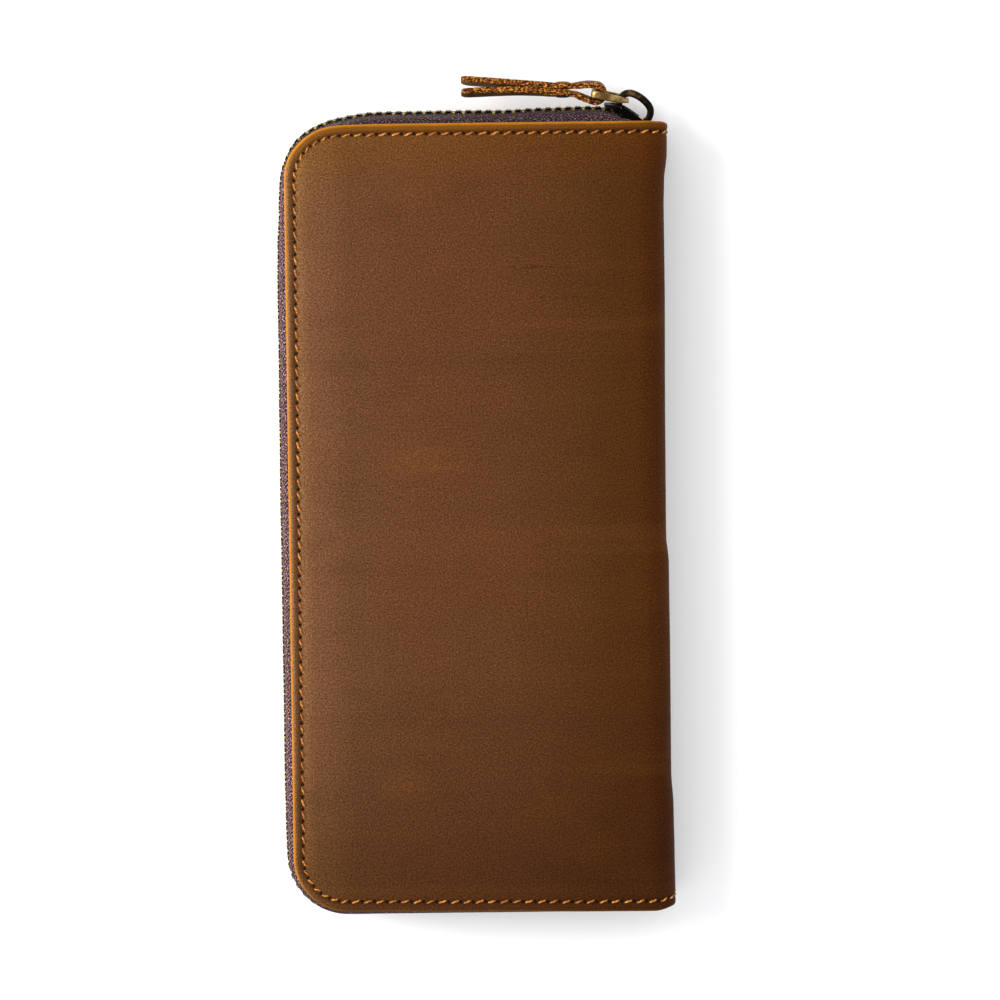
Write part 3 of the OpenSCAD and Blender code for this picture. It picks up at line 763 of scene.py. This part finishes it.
THREAD_R = 0.27


def stitch(parts, at, start, end, rise):
    """One stitch from start to end along a path function at(s, offset, height); its ends sink in."""
    rings, uv = [], []
    for i in range(9):
        t = i / 8
        s, off = (a + (b - a) * t for a, b in zip(start, end))
        arch = math.sin(math.pi * t)
        r = THREAD_R * (0.45 + 0.55 * arch ** 0.5)
        rings.append([at(s, off + r * c, rise * (arch ** 0.7 - 0.75) + r * d) for c, d in circle(8)])
        uv += [(s * MM, j / 8) for j in range(8)]
    parts.loft(rings, uv=uv)


def seam_stitches(name, front, seed):
    rnd = random.Random(seed)
    parts = Parts()
    sunk, rise = (0.06, 0.30) if front else (0.28, 0.12)

    def at(s, off, h):
        bu, by, nu, ny = outline(s)
        n = STITCH_N + off
        return on_side(hide_point(bu - nu * n, by - ny * n, h - sunk, front), front)

    count = round(SEAM / STITCH)
    for i in range(-1 if front else 0, count if front else count - 1):
        a = (i + 0.5) * STITCH + 0.58 + rnd.uniform(-0.08, 0.08)
        b = a + STITCH - 1.16
        slant = 0.33 + rnd.uniform(-0.07, 0.07)
        stitch(parts, at, (a, -slant), (b, slant + rnd.uniform(-0.06, 0.06)), rise)
    return parts.out(name, [M["thread"]], "lay")


SEAMS = [seam_stitches("front_stitches", True, 3), seam_stitches("back_stitches", False, 5)]

# the hide, the lining and the seam bend between each cover and the spine
for (front, back), slot, part in ((HIDES, "outer_leather", "leather"), (SEAMS, "thread", "thread"),
                                  (LININGS, "lining", "lining")):
    dress(front, "front_%s spine_%s" % (part, part), slot)
    dress(back, "back_" + part, slot)
    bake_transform(front)
    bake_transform(back)

# ---- zip ----

WALL = 1.7          # the zip wall's middle, out past the leather's edge
TURN_IN = 2.8
TURN_R = WALL + TURN_IN
TAPE_T = 0.6
FLANGE_Z = T - LEATHER - 0.35
TURN_Z = FLANGE_Z - TURN_R
TAPE_EDGE = MID + 2.4
TAPE_X1 = 42.6       # where the wall ends, turned in behind the leather
TAPE_S0 = U_END - TAPE_X1
# (u or y, lean) for sway(), along the +Y end, the zip side and the -Y end
SWAY_TOP = [(CORNER_X, -1.0), (-30, -0.9), (-22, -0.65), (-8, -0.60), (6, -0.60), (18, -0.1), (27, 0.10),
            (32.5, -0.05), (35, -1.0), (37.5, -2.4), (40.5, -4.6), (TAPE_X1, -5.6)]
SWAY_SIDE = [(-88, -0.75), (-78, -0.50), (-66, -0.35), (20, -0.25), (58, -0.30), (68, -0.40), (77, -0.85),
             (88, -1.3)]
SWAY_BOTTOM = [(CORNER_X, -0.5), (-24, -0.55), (30, -0.5), (35, -0.9), (37.5, -2.0), (40.5, -4.2),
               (TAPE_X1, -5.2)]


def sway(s):
    """The zip wall's lean: out by the slider, in at the corners, and far in at its ends."""
    u, y, _, _ = outline(s)
    if s <= RUN:
        base = table(SWAY_TOP, u)
    elif s >= SEAM - RUN:
        base = table(SWAY_BOTTOM, u)
    elif RUN + ARC < s < SEAM - RUN - ARC:
        base = table(SWAY_SIDE, y)
    elif s < SEAM / 2:
        corner = [(0, SWAY_TOP[0][1]), (0.5, -1.2), (1, table(SWAY_SIDE, CORNER_Y))]
        base = table(corner, (s - RUN) / ARC)
    else:
        corner = [(0, SWAY_BOTTOM[0][1]), (0.5, -0.55), (1, table(SWAY_SIDE, -CORNER_Y))]
        base = table(corner, (SEAM - RUN - s) / ARC)
    return base + 0.10 * ripple(s, 0, 17, 2.0) * smooth(8, 30, abs(s - TAPE_S0))


def tuck(s):
    """How far the whole zip is pulled in at the corner by the +Y end."""
    return table([(-0.40, 0.0), (0.25, 1.7), (0.70, 1.0), (1.1, 0.0)], (s - RUN) / ARC)


def wall_point(s, n, z):
    """A point of the front zip wall, n out past the edge; the wall's lean grows away from the sewn flange."""
    bu, by, nu, ny = outline(s)
    n += sway(s) * smooth(T - 2, TURN_Z, z) - tuck(s)
    return (bu + nu * n, by + ny * n, z)


def tape_section():
    """Section (n, z, distance across) of the tape: flange, quarter turn, wall with a beaded edge."""
    mid = [(-8.0, FLANGE_Z, 0.5), (-5.0, FLANGE_Z, 0.5)]
    for i in range(9):
        a = math.pi / 2 * (1 - i / 8)
        mid.append((-TURN_IN + TURN_R * math.cos(a), TURN_Z + TURN_R * math.sin(a), 0.5))
    mid += [(WALL, TURN_Z - 1.3, 0.5), (WALL, TAPE_EDGE + 1.0, 0.5), (WALL, TAPE_EDGE + 0.7, 0.8),
            (WALL, TAPE_EDGE + 0.3, 0.9), (WALL, TAPE_EDGE, 0.55)]
    outer, inner, across = [], [], 0.0
    for i, (n, z, w) in enumerate(mid):
        a, b = mid[max(0, i - 1)], mid[min(len(mid) - 1, i + 1)]
        d = Vector((b[0] - a[0], b[1] - a[1])).normalized()
        across += math.dist(mid[i][:2], a[:2]) if i else 0.0
        half = TAPE_T * w
        outer.append((n - d.y * half, z + d.x * half, across))
        inner.append((n + d.y * half, z - d.x * half, across))
    return outer + inner[::-1]


def tape_stations():
    s, out = TAPE_S0, []
    while s < SEAM / 2:
        out.append(s)
        s += 0.8 if s < TAPE_S0 + 12 else 1.1 if RUN - 1 < s < RUN + ARC + 1 else 2.2
    return out + [SEAM - a for a in reversed(out)]


def zip_tape_piece(name, front):
    """Front or back half of the tape."""
    parts = Parts()
    section = tape_section()
    rings, uv = [], []
    for s in tape_stations():
        u = outline(s)[0]
        sunk = 0.3 * smooth(40.5, TAPE_X1, u)
        dive = 3.4 * smooth(38.5, TAPE_X1, u)
        rings.append([wall_point(s, n - dive, z - sunk * smooth(TURN_Z, FLANGE_Z, z)) for n, z, _ in section])
        uv += [(s * MM, across * MM) for _, _, across in section]
    parts.loft(rings, uv=uv)
    if not front:
        turn_over(parts)
    return parts.out(name, [M["tape"]], "weave", angle=60)


TOOTH = [(3.40, 0.36), (3.22, 0.56), (2.25, 0.66), (1.95, 0.56), (1.45, 0.50), (1.1, 0.60), (0.35, 0.60),
         (-0.12, 0.50), (-0.32, 0.26)]     # (distance from the middle of the zip, half width)
TOOTH_T = 1.75
TOOTH_PITCH = 2.5
TOOTH_X = 35.8      # where each row of teeth starts, and its stop
STOP_X = 36.6


def tooth_shape():
    """Rings of (s, d, n): d from the middle of the zip, n through the tooth, inner face to outer face."""
    half = [(w, d) for d, w in TOOTH]
    shape = half + [(-w, d) for w, d in reversed(half)]
    mid = sum(d for _, d in shape) / len(shape)
    rings = []
    for n, grow in ((-1, 0.6), (-1, 0.84), (-0.8, 1.0), (0.15, 1.0), (0.78, 1.0), (1, 0.84), (1, 0.6)):
        rings.append([(w * grow, mid + (d - mid) * (1 - (1 - grow) * 0.4), n * TOOTH_T / 2) for w, d in shape])
    return rings


def tooth_slot(ring, point):
    """Rubbed bright on its faces and at the outer end of the legs, dark elsewhere."""
    leg_end = point == 2 * len(TOOTH) - 1
    return 0 if ring == 0 or (leg_end and ring in (3, 4)) else 1


def zip_teeth_piece(name, front, shift):
    rnd = random.Random(21)
    parts = Parts()
    rings = tooth_shape()
    first = U_END - TOOTH_X
    for i in range(int((SEAM - 2 * first) / TOOTH_PITCH)):
        s = first + (i + shift) * TOOTH_PITCH
        bu, by, nu, ny = outline(s)
        n0 = WALL + sway(s) - tuck(s)
        turn = rnd.uniform(-0.03, 0.03)
        made = []
        for ring in rings:
            row = []
            for w, d, n in ring:
                w += d * turn
                n += n0
                row.append(on_side((bu + nu * n + ny * w, by + ny * n - nu * w, MID + d), front))
            made.append(row)
        parts.loft(made, tooth_slot)
        parts.slots[-1] = 0
    return parts.out(name, [M["tooth"], M["tooth_side"]], angle=30)


def zip_stops_piece(name, front):
    """A folded metal clip at each end of a row of teeth."""
    parts = Parts()
    clip = rounded([(-0.42, 0.5), (0.42, 0.5), (0.42, 3.2), (-0.42, 3.2)], 0.25, 3)
    mid = 1.85
    for s in (U_END - STOP_X, SEAM - U_END + STOP_X):
        bu, by, _, ny = outline(s)
        n0 = WALL + sway(s)
        rings = []
        for n, grow in ((-0.75, 0.8), (-0.6, 1.0), (0.6, 1.0), (0.75, 0.8)):
            long = 1 - (1 - grow) * 0.4
            rings.append([on_side((bu - ny * w * grow, by + ny * (n0 + n), MID + mid + (d - mid) * long), front)
                          for w, d in clip])
        parts.loft(rings)
    return parts.out(name, [M["tooth_side"]], angle=35)


for side, shift in (("front", 0.5), ("back", 0.0)):
    is_front = side == "front"
    for piece, part, slot in (
            (zip_tape_piece(side + "_tape_weave", is_front), "_zip_tape", "zip_tape"),
            (zip_teeth_piece(side + "_teeth_row", is_front, shift), "_zip_teeth", "zip_teeth"),
            (zip_stops_piece(side + "_stop_clips", is_front), "_zip_stops", "zip_teeth")):
        dress(piece, side + part, slot, side + "_cover")

# ---- slider ----


def on_wall(x, n, d):
    """x along, n out past the leather's edge, d from the middle plane: a point by the +Y zip."""
    return (x, END + n, MID + d)


def slab(parts, outline_xd, top, under, round_by=0.12):
    """A plate lying along the wall: outline in (x, d), top(x) and under(x) give its two faces."""
    cx = sum(p[0] for p in outline_xd) / len(outline_xd)
    cd = sum(p[1] for p in outline_xd) / len(outline_xd)

    def ring(shrink, level):
        out = []
        for x, d in outline_xd:
            v = Vector((x - cx, d - cd))
            v = v * max(0.0, 1 - shrink / max(v.length, 1e-6))
            out.append(on_wall(cx + v.x, level(cx + v.x), cd + v.y))
        return out

    parts.loft([ring(round_by * 2.2, under), ring(round_by, under), ring(0, lambda x: under(x) + round_by),
                ring(0, lambda x: top(x) - round_by), ring(round_by, top), ring(round_by * 2.2, top)])


def slider_body_piece():
    parts = Parts()

    def top(x):
        return table([(32.4, 3.45), (34.4, 3.42), (36.9, 2.75)], x)

    plan = rounded([(32.35, -4.2), (32.35, 4.2), (34.6, 4.2), (36.7, 3.1), (36.7, -3.1), (34.6, -4.2)], 0.9)
    slab(parts, plan, top, lambda x: top(x) - 0.62)
    slab(parts, plan, lambda x: 0.18, lambda x: -0.42)
    # turned-in flanges along both sides of the two plates
    flange = [(32.5, 3.72), (32.5, 4.2), (34.7, 4.2), (36.3, 3.35), (36.1, 2.95), (34.6, 3.72)]
    for side in (-1, 1):
        strip = rounded([(x, side * d) for x, d in flange], 0.15, 2)
        for low, high in ((2.25, 3.0), (0.0, 0.75)):
            slab(parts, strip, lambda x, h=high: h, lambda x, l=low: l, round_by=0.08)
    # divider and the nose that slopes down under the crown
    edge = rounded([(34.4, 0.0), (34.4, 3.0), (36.0, 3.3), (36.9, 2.85), (39.0, 1.55), (41.2, -0.15), (42.2, -0.85),
                    (41.2, -1.7), (38.8, -1.1), (36.8, -0.4)], 0.45, 3)
    cx, cn = 38.0, 0.9
    parts.loft([[on_wall(cx + (x - cx) * grow, cn + (n - cn) * grow, d) for x, n in edge]
                for d, grow in ((-0.8, 0.94), (-0.66, 1.0), (0.66, 1.0), (0.8, 0.94))])
    # raised rib along the middle of the nose
    rib = spline([(34.0, 3.5, 0), (35.4, 3.35, 0), (37.0, 2.8, 0), (39.0, 1.6, 0), (41.0, 0.1, 0)], 4)
    parts.loft([[on_wall(p.x + 0.22 * c, p.y + 0.18 * c, 0.42 * s) for c, s in circle(8)] for p in rib])
    return parts.out("slider_body_cast", [M["gun"]], angle=35)


def slider_crown_piece():
    parts = Parts()
    mid = [(36.2, 2.6), (36.2, 3.9), (36.75, 5.1), (37.9, 5.9), (39.4, 5.9), (41.2, 5.05), (42.8, 3.7), (43.8, 2.3),
           (43.95, 0.9), (43.4, -0.5), (42.4, -1.2)]
    path = spline([on_wall(x, n, 0.0) for x, n in mid], 5)
    last = len(path) - 1
    rings = []
    for i, p in enumerate(path):
        t = (path[min(i + 1, last)] - path[max(i - 1, 0)]).normalized()
        side = t.cross(Vector((0, 0, 1))).normalized()
        up = side.cross(t).normalized()
        rings.append(bar_ring(p, side, up, 0.80 + 0.12 * math.sin(math.pi * i / last), 0.80, 3.2, 14))
    parts.loft(rings)
    return parts.out("slider_crown_wire", [M["crown"]], angle=50)


def link_piece():
    """A flat ring: round where it turns on the crown and in the strap, deep at its two sides."""
    parts = Parts()
    pin, end = Vector((37.9, 4.3)), Vector((29.95, 6.05))
    way = end - pin
    length, d = way.length, way.normalized()
    half = 3.7          # half its width, to the middle of the bar
    corners = rounded([(-0.15, -half), (length + 0.25, -half), (length + 0.25, half), (-0.15, half)], 0.8, 6)
    path = []
    for i, (a, z) in enumerate(corners):
        b = corners[(i + 1) % len(corners)]
        steps = max(1, int(math.dist((a, z), b) / 0.6))
        for s in range(steps):
            t = s / steps
            q = pin + d * (a + (b[0] - a) * t)
            path.append(Vector(on_wall(q.x, q.y, z + (b[1] - z) * t)))
    start, way, up = Vector(on_wall(pin.x, pin.y, 0)), Vector((d.x, d.y, 0)), Vector((d.y, -d.x, 0))
    rings = []
    count = len(path)
    for i, p in enumerate(path):
        t = (path[(i + 1) % count] - path[i - 1]).normalized()
        side = t.cross(up).normalized()
        along = (p - start).dot(way)
        flat = smooth(2.7, 3.3, abs(p.z - MID))
        tall = (0.50 + 0.42 * flat * smooth(0.1, 1.4, along)) * (1 + 0.22 * (along / length - 0.5))
        rings.append(bar_ring(p, side, up, 0.46 + 0.10 * flat, tall, 5, 16))
    parts.loft(rings, closed=True)
    return parts.out("pull_link_ring", [M["link"]], angle=45)


RIVET_X = 22.0
STRAP_MID = 7.1


def lean(p):
    """The strap's twist about its length: none in the loop, more towards the free ends."""
    a = math.radians(table([(-4, 17), (12, 14), (22, 9), (27, 0)], p[0]))
    n, d = p[1] - END - STRAP_MID, p[2] - MID
    return (p[0], END + STRAP_MID + n * math.cos(a) + d * math.sin(a), MID + d * math.cos(a) - n * math.sin(a))


def strap_piece():
    parts = Parts()
    # the middle of its thickness, (x, out from the wall): upper layer, loop through the link, lower layer
    top = [(-3.5, 9.85), (0, 9.45), (4, 9.15), (8, 8.85), (12, 8.5), (16, 8.2), (19.2, 7.97), (22, 7.93),
           (24.8, 8.0), (27, 8.25), (28.6, 8.35)]
    loop = [(30.2 + 2.1 * math.cos(math.radians(a)), 6.1 + 2.1 * math.sin(math.radians(a)))
            for a in range(75, -120, -24)]
    low = [(27.8, 4.75), (26.3, 5.35), (24.8, 5.95), (22, 6.25), (19.2, 6.27), (16, 6.6), (12, 6.85), (8, 6.85),
           (4, 6.78), (0, 6.66), (-3.5, 6.55)]
    path = spline([(x, n, 0) for x, n in top + loop + low], 5)
    rnd = random.Random(4)
    rings, count = [], len(path)
    # half the section, in parts of its half width and half thickness: lower face, then one cut edge
    w, t = 2.72, 0.76
    half = [(-0.94, -1), (-0.5, -1.02), (0, -1.03), (0.5, -1.02), (0.94, -1), (1, -0.72), (1.01, -0.28),
            (1.01, 0.28), (1, 0.72)]
    section = [(w * a, t * b) for a, b in half + [(-a, -b) for a, b in half]]
    for i, p in enumerate(path):
        a, b = path[max(i - 1, 0)], path[min(i + 1, count - 1)]
        d = (b - a).normalized()
        across = Vector((-d.y, d.x))
        end = min(i, count - 1 - i)
        taper = [0.40, 0.74, 0.92, 1.0][min(end, 3)]
        thick = 1.0 + 0.06 * ripple(i, 0, 6, 4.0)
        ring = []
        for j, (dw, dt) in enumerate(section):
            rough = 0.09 * rnd.uniform(-1, 1) if 5 <= j <= 8 or 14 <= j <= 17 else 0.015 * rnd.uniform(-1, 1)
            k = dt * thick * taper
            width = dw * (0.86 + 0.14 * taper) + math.copysign(rough, dw)
            ring.append(lean(on_wall(p.x + across.x * k, p.y + across.y * (k + rough * 0.4), width)))
        rings.append(ring)

    def slot(_, j):
        return 1 if 4 <= j <= 8 or j >= 13 else 0

    parts.loft(rings, slot)
    parts.slots[-2:] = [1, 1]
    return parts.out("pull_strap_leather", [M["strap_face"], M["strap_edge"]], angle=50)


def lathe(parts, profile, n, sides=36):
    """Turns (radius, height) points about the rivet's axis, at n out from the wall."""
    parts.loft([[lean(on_wall(RIVET_X + r * c, n + h, r * s)) for c, s in circle(sides)] for r, h in profile])


def rivet_piece(name, n, head):
    """A domed cap; the head's has the post as well."""
    parts = Parts()
    dome = [(0.1, 0.0), (1.6, 0.0), (1.72, 0.03), (1.75, 0.10), (1.7, 0.16), (1.5, 0.23), (1.2, 0.28), (0.8, 0.32),
            (0.4, 0.34), (0.1, 0.345)]
    lathe(parts, dome if head else [(r, -h) for r, h in reversed(dome)], n)
    if head:
        lathe(parts, [(0.88, -3.55), (0.9, -3.4), (0.9, -0.1), (0.9, 0.05)], n, sides=20)
    return parts.out(name, [M["rivet"]], angle=30)


for piece, node, body, slot in [
        (slider_body_piece(), "slider_body", "zip_slider", "slider_metal"),
        (slider_crown_piece(), "slider_crown", "zip_slider", "slider_metal"),
        (link_piece(), "pull_link", "link", "link_metal"),
        (strap_piece(), "pull_strap", "strap", "strap_leather"),
        (rivet_piece("pull_rivet_head", 8.80, True), "pull_rivet", "strap", "rivet_metal"),
        (rivet_piece("pull_rivet_back", 5.38, False), "pull_rivet_cap", "strap", "rivet_metal")]:
    dress(piece, node, slot, body)

# ---- inside ----


def steps(*spans):
    """Sorted grid lines from (start, end, count) spans."""
    out = []
    for a, b, count in spans:
        out += [a + (b - a) * i / count for i in range(count + 1)]
    return sorted({round(v, 4) for v in out})


def plate(xs, ys, low, high, lift, window=None):
    """A plate on grid lines xs, ys with one relief face, lift(x, y) above high, and an optional hole."""
    cells = {(i, j) for i in range(len(xs) - 1) for j in range(len(ys) - 1)
             if not (window and window[0] < (xs[i] + xs[i + 1]) / 2 < window[1]
                     and window[2] < (ys[j] + ys[j + 1]) / 2 < window[3])}
    index, verts, faces = {}, [], []

    def v(i, j, top):
        if (i, j, top) not in index:
            index[i, j, top] = len(verts)
            x, y = xs[i], ys[j]
            verts.append((x, y, high + lift(x, y) if top else low))
        return index[i, j, top]

    for i, j in sorted(cells):
        p, q, r, t = (i, j), (i + 1, j), (i + 1, j + 1), (i, j + 1)
        faces.append([v(*c, 1) for c in (p, q, r, t)])
        faces.append([v(*c, 0) for c in (p, t, r, q)])
        for beside, a, b in (((i - 1, j), t, p), ((i + 1, j), q, r), ((i, j - 1), p, q), ((i, j + 1), r, t)):
            if beside not in cells:
                faces.append([v(*a, 1), v(*a, 0), v(*b, 0), v(*b, 1)])
    parts = Parts()
    parts.add(verts, faces, 0, [(abs(x - xs[0]) * MM, y * MM) for x, y, _ in verts])
    return parts


INNER_PITCH = 3.0
INNER_R = 0.2
POCKET_SEAM = 2.2   # sewn line, in from a pocket's two ends
COIN_SEAM = 2.0     # sewn line, in from the coin pocket's edge
HOLE_SEAM = 1.5     # sewn line, out from the opening for its zip
COIN_ZIP_X = -27.0


def stitch_line(parts, a, b, z):
    """Straight stitches from a to b at height z on the relief face."""
    a, b = Vector(a), Vector(b)
    d = (b - a).normalized()
    side = Vector((-d.y, d.x))
    count = max(1, int((b - a).length / INNER_PITCH))
    step = (b - a).length / count
    for i in range(count):
        rings, uv = [], []
        for k in range(6):
            t = k / 5
            arch = math.sin(math.pi * t)
            r = INNER_R * (0.4 + 0.6 * arch)
            p = a + d * (step * (i + 0.14 + 0.72 * t)) + side * (0.16 * (t - 0.5) * 2)
            top = z + INNER_R * (arch - 0.6)
            rings.append([(p.x + side.x * r * c, p.y + side.y * r * c, top + r * s) for c, s in circle(6)])
            uv += [(t * step * MM, m / 6) for m in range(6)]
        parts.loft(rings, 1, uv=uv)


def stitch_round(parts, x0, y0, x1, y1, out, z):
    """Stitches round a rectangle, that far outside it."""
    x0, y0, x1, y1 = x0 - out, y0 - out, x1 + out, y1 + out
    corners = [(x0, y0), (x0, y1), (x1, y1), (x1, y0)]
    for a, b in zip(corners, corners[1:] + corners[:1]):
        stitch_line(parts, a, b, z)


def panel_box(node, mirror):
    """The node's box in mm, x0 to z1; mirror turns it over to the back cover."""
    low, high = box_mm(node)
    if mirror:
        low[2], high[2] = T - high[2], T - low[2]
    return low + high


def finish_panel(parts, node, body, look, mirror=False, bevel=0.13):
    """Panels are drawn for the back cover, relief face up; mirror turns them over to the front cover."""
    if mirror:
        turn_over(parts)
    uvs = {"panel": parts.uv, "lay": parts.uv}
    piece = build(node + "_leather", parts.verts, parts.faces, [M[look], M["thread"]], uvs, parts.slots, bevel=bevel)
    dress(piece, node, "pocket_leather", body)


def pocket_piece(side, node, level):
    x0, y0, z0, x1, y1, z1 = panel_box(node, side == "front")
    base = z1 - 0.5
    inside = level > 0

    def lift(x, y):
        crease = -0.07 * (1 - smooth(0.0, 0.45, abs(x - x0 - CREASE)))
        ends = smooth(0, 3, y1 - abs(y)) * smooth(0, 4, x1 - x) * smooth(0.0, 2.2, x - x0 + 0.9)
        middle = smooth(0.3, 5.0, abs(y)) if inside else 1.0
        seam = -0.10 * (1 - smooth(0.2, 1.2, abs(y))) if inside else 0.0
        puff = (0.16 + 0.05 * ripple(x, y, 30, level)) * ends * middle
        return min(0.22, puff) + crease + seam - 0.06 * (1 - smooth(0, 0.5, abs(y1 - POCKET_SEAM - abs(y))))

    xs = steps((x0, x0 + 0.9, 2), (x0 + 0.9, x0 + 2.1, 6), (x0 + 2.1, x1, 12))
    ys = steps((y0, y0 + 4, 8), (y0 + 4, -3, 14), (-3, 3, 10), (3, y1 - 4, 14), (y1 - 4, y1, 8))
    parts = plate(xs, ys, base, z1, lift)
    seen = x1 if level in (0, 4) else x0 + 10
    for y in (y0 + POCKET_SEAM, y1 - POCKET_SEAM):
        stitch_line(parts, (x0 + 0.8, y), (seen - 0.6, y), z1 - 0.02)
    if inside:
        stitch_line(parts, (x0 + 0.8, 0), (seen - 0.6, 0), z1 - 0.06)
    if level == 4:
        stitch_line(parts, (x1 - 1.6, y0 + 3), (x1 - 1.6, y1 - 3), z1)
    # what is left of the panel's depth is the narrow seam strip that holds it off the one below
    for xa, ya, xb, yb in ((x0, y0, x1, y0 + 2), (x0, y1 - 2, x1, y1), (x1 - 2, y0, x1, y1)):
        rows = [[(xa, ya, z), (xb, ya, z), (xb, yb, z), (xa, yb, z)] for z in (z0 + 0.01, base + 0.05)]
        parts.loft(rows)
    finish_panel(parts, node, side + "_cover", "pocket", side == "front")


for side in ("back", "front"):
    pocket_piece(side, side + "_slip_pocket", 0)
    for level in (1, 2, 3, 4):
        pocket_piece(side, side + "_card_tier_%d" % level, level)


def coin_face_piece(node, front):
    x0, y0, z0, x1, y1, z1 = panel_box(node, not front)
    zx, wide, tall = COIN_ZIP_X, 4.0, 80.0     # the opening for the coin zip: middle, half sizes

    def lift(x, y):
        edge = min(x - x0, x1 - x, y1 - abs(y))
        groove = -0.09 * (1 - smooth(0.1, 0.6, abs(edge - COIN_SEAM)))
        puff = 0.22 * smooth(2.5, 26, edge)
        if front:
            to_hole = max(abs(x - zx) - wide, abs(y) - tall)
            groove -= 0.08 * (1 - smooth(0.1, 0.6, abs(to_hole - HOLE_SEAM)))
            puff *= smooth(1, 12, to_hole)
        return puff + groove

    hole = None
    inner = [(x0 + 3, x1 - 3, 14)]
    if front:
        hole = (zx - wide, zx + wide, -tall, tall)
        inner = [(zx - wide - 2, zx - wide, 4), (zx + wide, zx + wide + 2, 4), (zx + wide + 2, x1 - 3, 12)]
    xs = steps((x0, x0 + 3, 6), *inner, (x1 - 3, x1, 6))
    ys = steps((y0, y0 + 3, 6), (-tall - 2, -tall, 4), (-tall, tall, 30), (tall, tall + 2, 4), (y1 - 3, y1, 6))
    parts = plate(xs, ys, z0, z1, lift, hole)
    stitch_round(parts, x0, y0, x1, y1, -COIN_SEAM, z1 - 0.06)
    if front:
        stitch_round(parts, zx - wide, -tall, zx + wide, tall, HOLE_SEAM, z1 - 0.06)
    finish_panel(parts, node, "coin_pocket", "coin", not front)


coin_face_piece("coin_wall_front", True)
coin_face_piece("coin_wall_back", False)

x0, y0, z0, x1, y1, z1 = panel_box("coin_hinge_strip", False)
parts = plate(steps((x0 - 0.3, x1, 8)), steps((y0, y1, 60)), z0, z1, no_lift)
parts.verts = [(x - (0.4 + 1.75 * pinch(SPINE, y)) * (x - x0) / (x1 - x0), y, z) for x, y, z in parts.verts]
finish_panel(parts, "coin_hinge_strip", "coin_pocket", "coin", bevel=0.2)

x0, y0, z0, x1, y1, z1 = panel_box("coin_zip_tape", False)
parts = Parts()
for side in (-1, 1):
    inner, outer = COIN_ZIP_X + side * 0.75, x1 if side > 0 else x0
    section = [(inner, z1 - 0.16), (inner, z1 + 0.10), (inner + side * 0.7, z1 + 0.12), (inner + side, z1 - 0.02),
               (outer, z1 - 0.02), (outer, z0), (inner + side * 0.6, z0)]
    ys = steps((y0, y1, 40))
    parts.loft([[(x, y, z) for x, z in section] for y in ys], uv=[(y * MM, x * MM) for y in ys for x, _ in section])
dress(parts.out("coin_zip_tape_cloth", [M["coin_tape"]], "weave"), "coin_zip_tape", "zip_tape", "coin_pocket")

SOFTENED = {  # node: (body, look, slot, rounding in mm)
    "coin_frame": ("coin_pocket", "dark_edge", "pocket_leather", 0.25),
    "coin_zip_teeth": ("coin_pocket", "tooth", "zip_teeth", 0.16),
    "coin_slider": ("coin_zip_slider", "gun", "slider_metal", 0.14),
    "coin_pull": ("coin_zip_pull", "link", "link_metal", 0.12),
}


def softened(node, body, look, slot, rounding):
    """The node's own solid with its edges rounded."""
    bm = bmesh.new()
    bm.from_mesh(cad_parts[node].data)
    bmesh.ops.remove_doubles(bm, verts=bm.verts, dist=1e-6)
    bmesh.ops.dissolve_limit(bm, angle_limit=math.radians(1), verts=bm.verts, edges=bm.edges)
    round_edges(bm, rounding, 50)
    me = bpy.data.meshes.new(node + "_soft")
    me.materials.append(M[look])
    dress(settle(node + "_soft", bm, me, 50), node, slot, body)


for node, how in SOFTENED.items():
    softened(node, *how)

for node in ("front_board", "back_board"):
    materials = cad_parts[node].data.materials
    materials.clear()
    materials.append(M["board"])

# ---- floor and light ----


FLOOR = 12          # half its size, m
me = bpy.data.meshes.new("floor")
me.from_pydata([(x * FLOOR, y * FLOOR, 0) for x, y in ((-1, -1), (1, -1), (1, 1), (-1, 1))], [], [(0, 1, 2, 3)])
me.materials.append(floor_look())
add_object("floor", me)


def area(name, place, size, power, color=(1, 1, 1), look_at=(0, 0, 0)):
    data = bpy.data.lights.new(name, "AREA")
    data.shape = "DISK"
    data.size = size
    data.energy = power
    data.color = color
    light = add_object(name, data)
    light.location = place
    light.rotation_mode = "QUATERNION"
    light.rotation_quaternion = (Vector(place) - Vector(look_at)).to_track_quat("Z", "Y")


area("key", (-1.1, 0.5, 1.15), 0.9, 16.5, (1.0, 0.98, 0.95))
area("side", (-1.2, 0.15, 0.22), 0.5, 18.0, (1.0, 0.97, 0.92), (-0.05, 0, 0.012))
area("fill", (1.0, -0.6, 1.3), 1.2, 5.5, (0.97, 0.98, 1.0))
area("top", (-0.3, 1.3, 0.9), 1.0, 3.5)
world = bpy.data.worlds.new("studio")
world.use_nodes = True
background = world.node_tree.nodes["Background"].inputs
background["Color"].default_value = (0.98, 0.985, 1.0, 1)
background["Strength"].default_value = 0.98
bpy.context.scene.world = world
bpy.context.scene.view_settings.view_transform = "Standard"
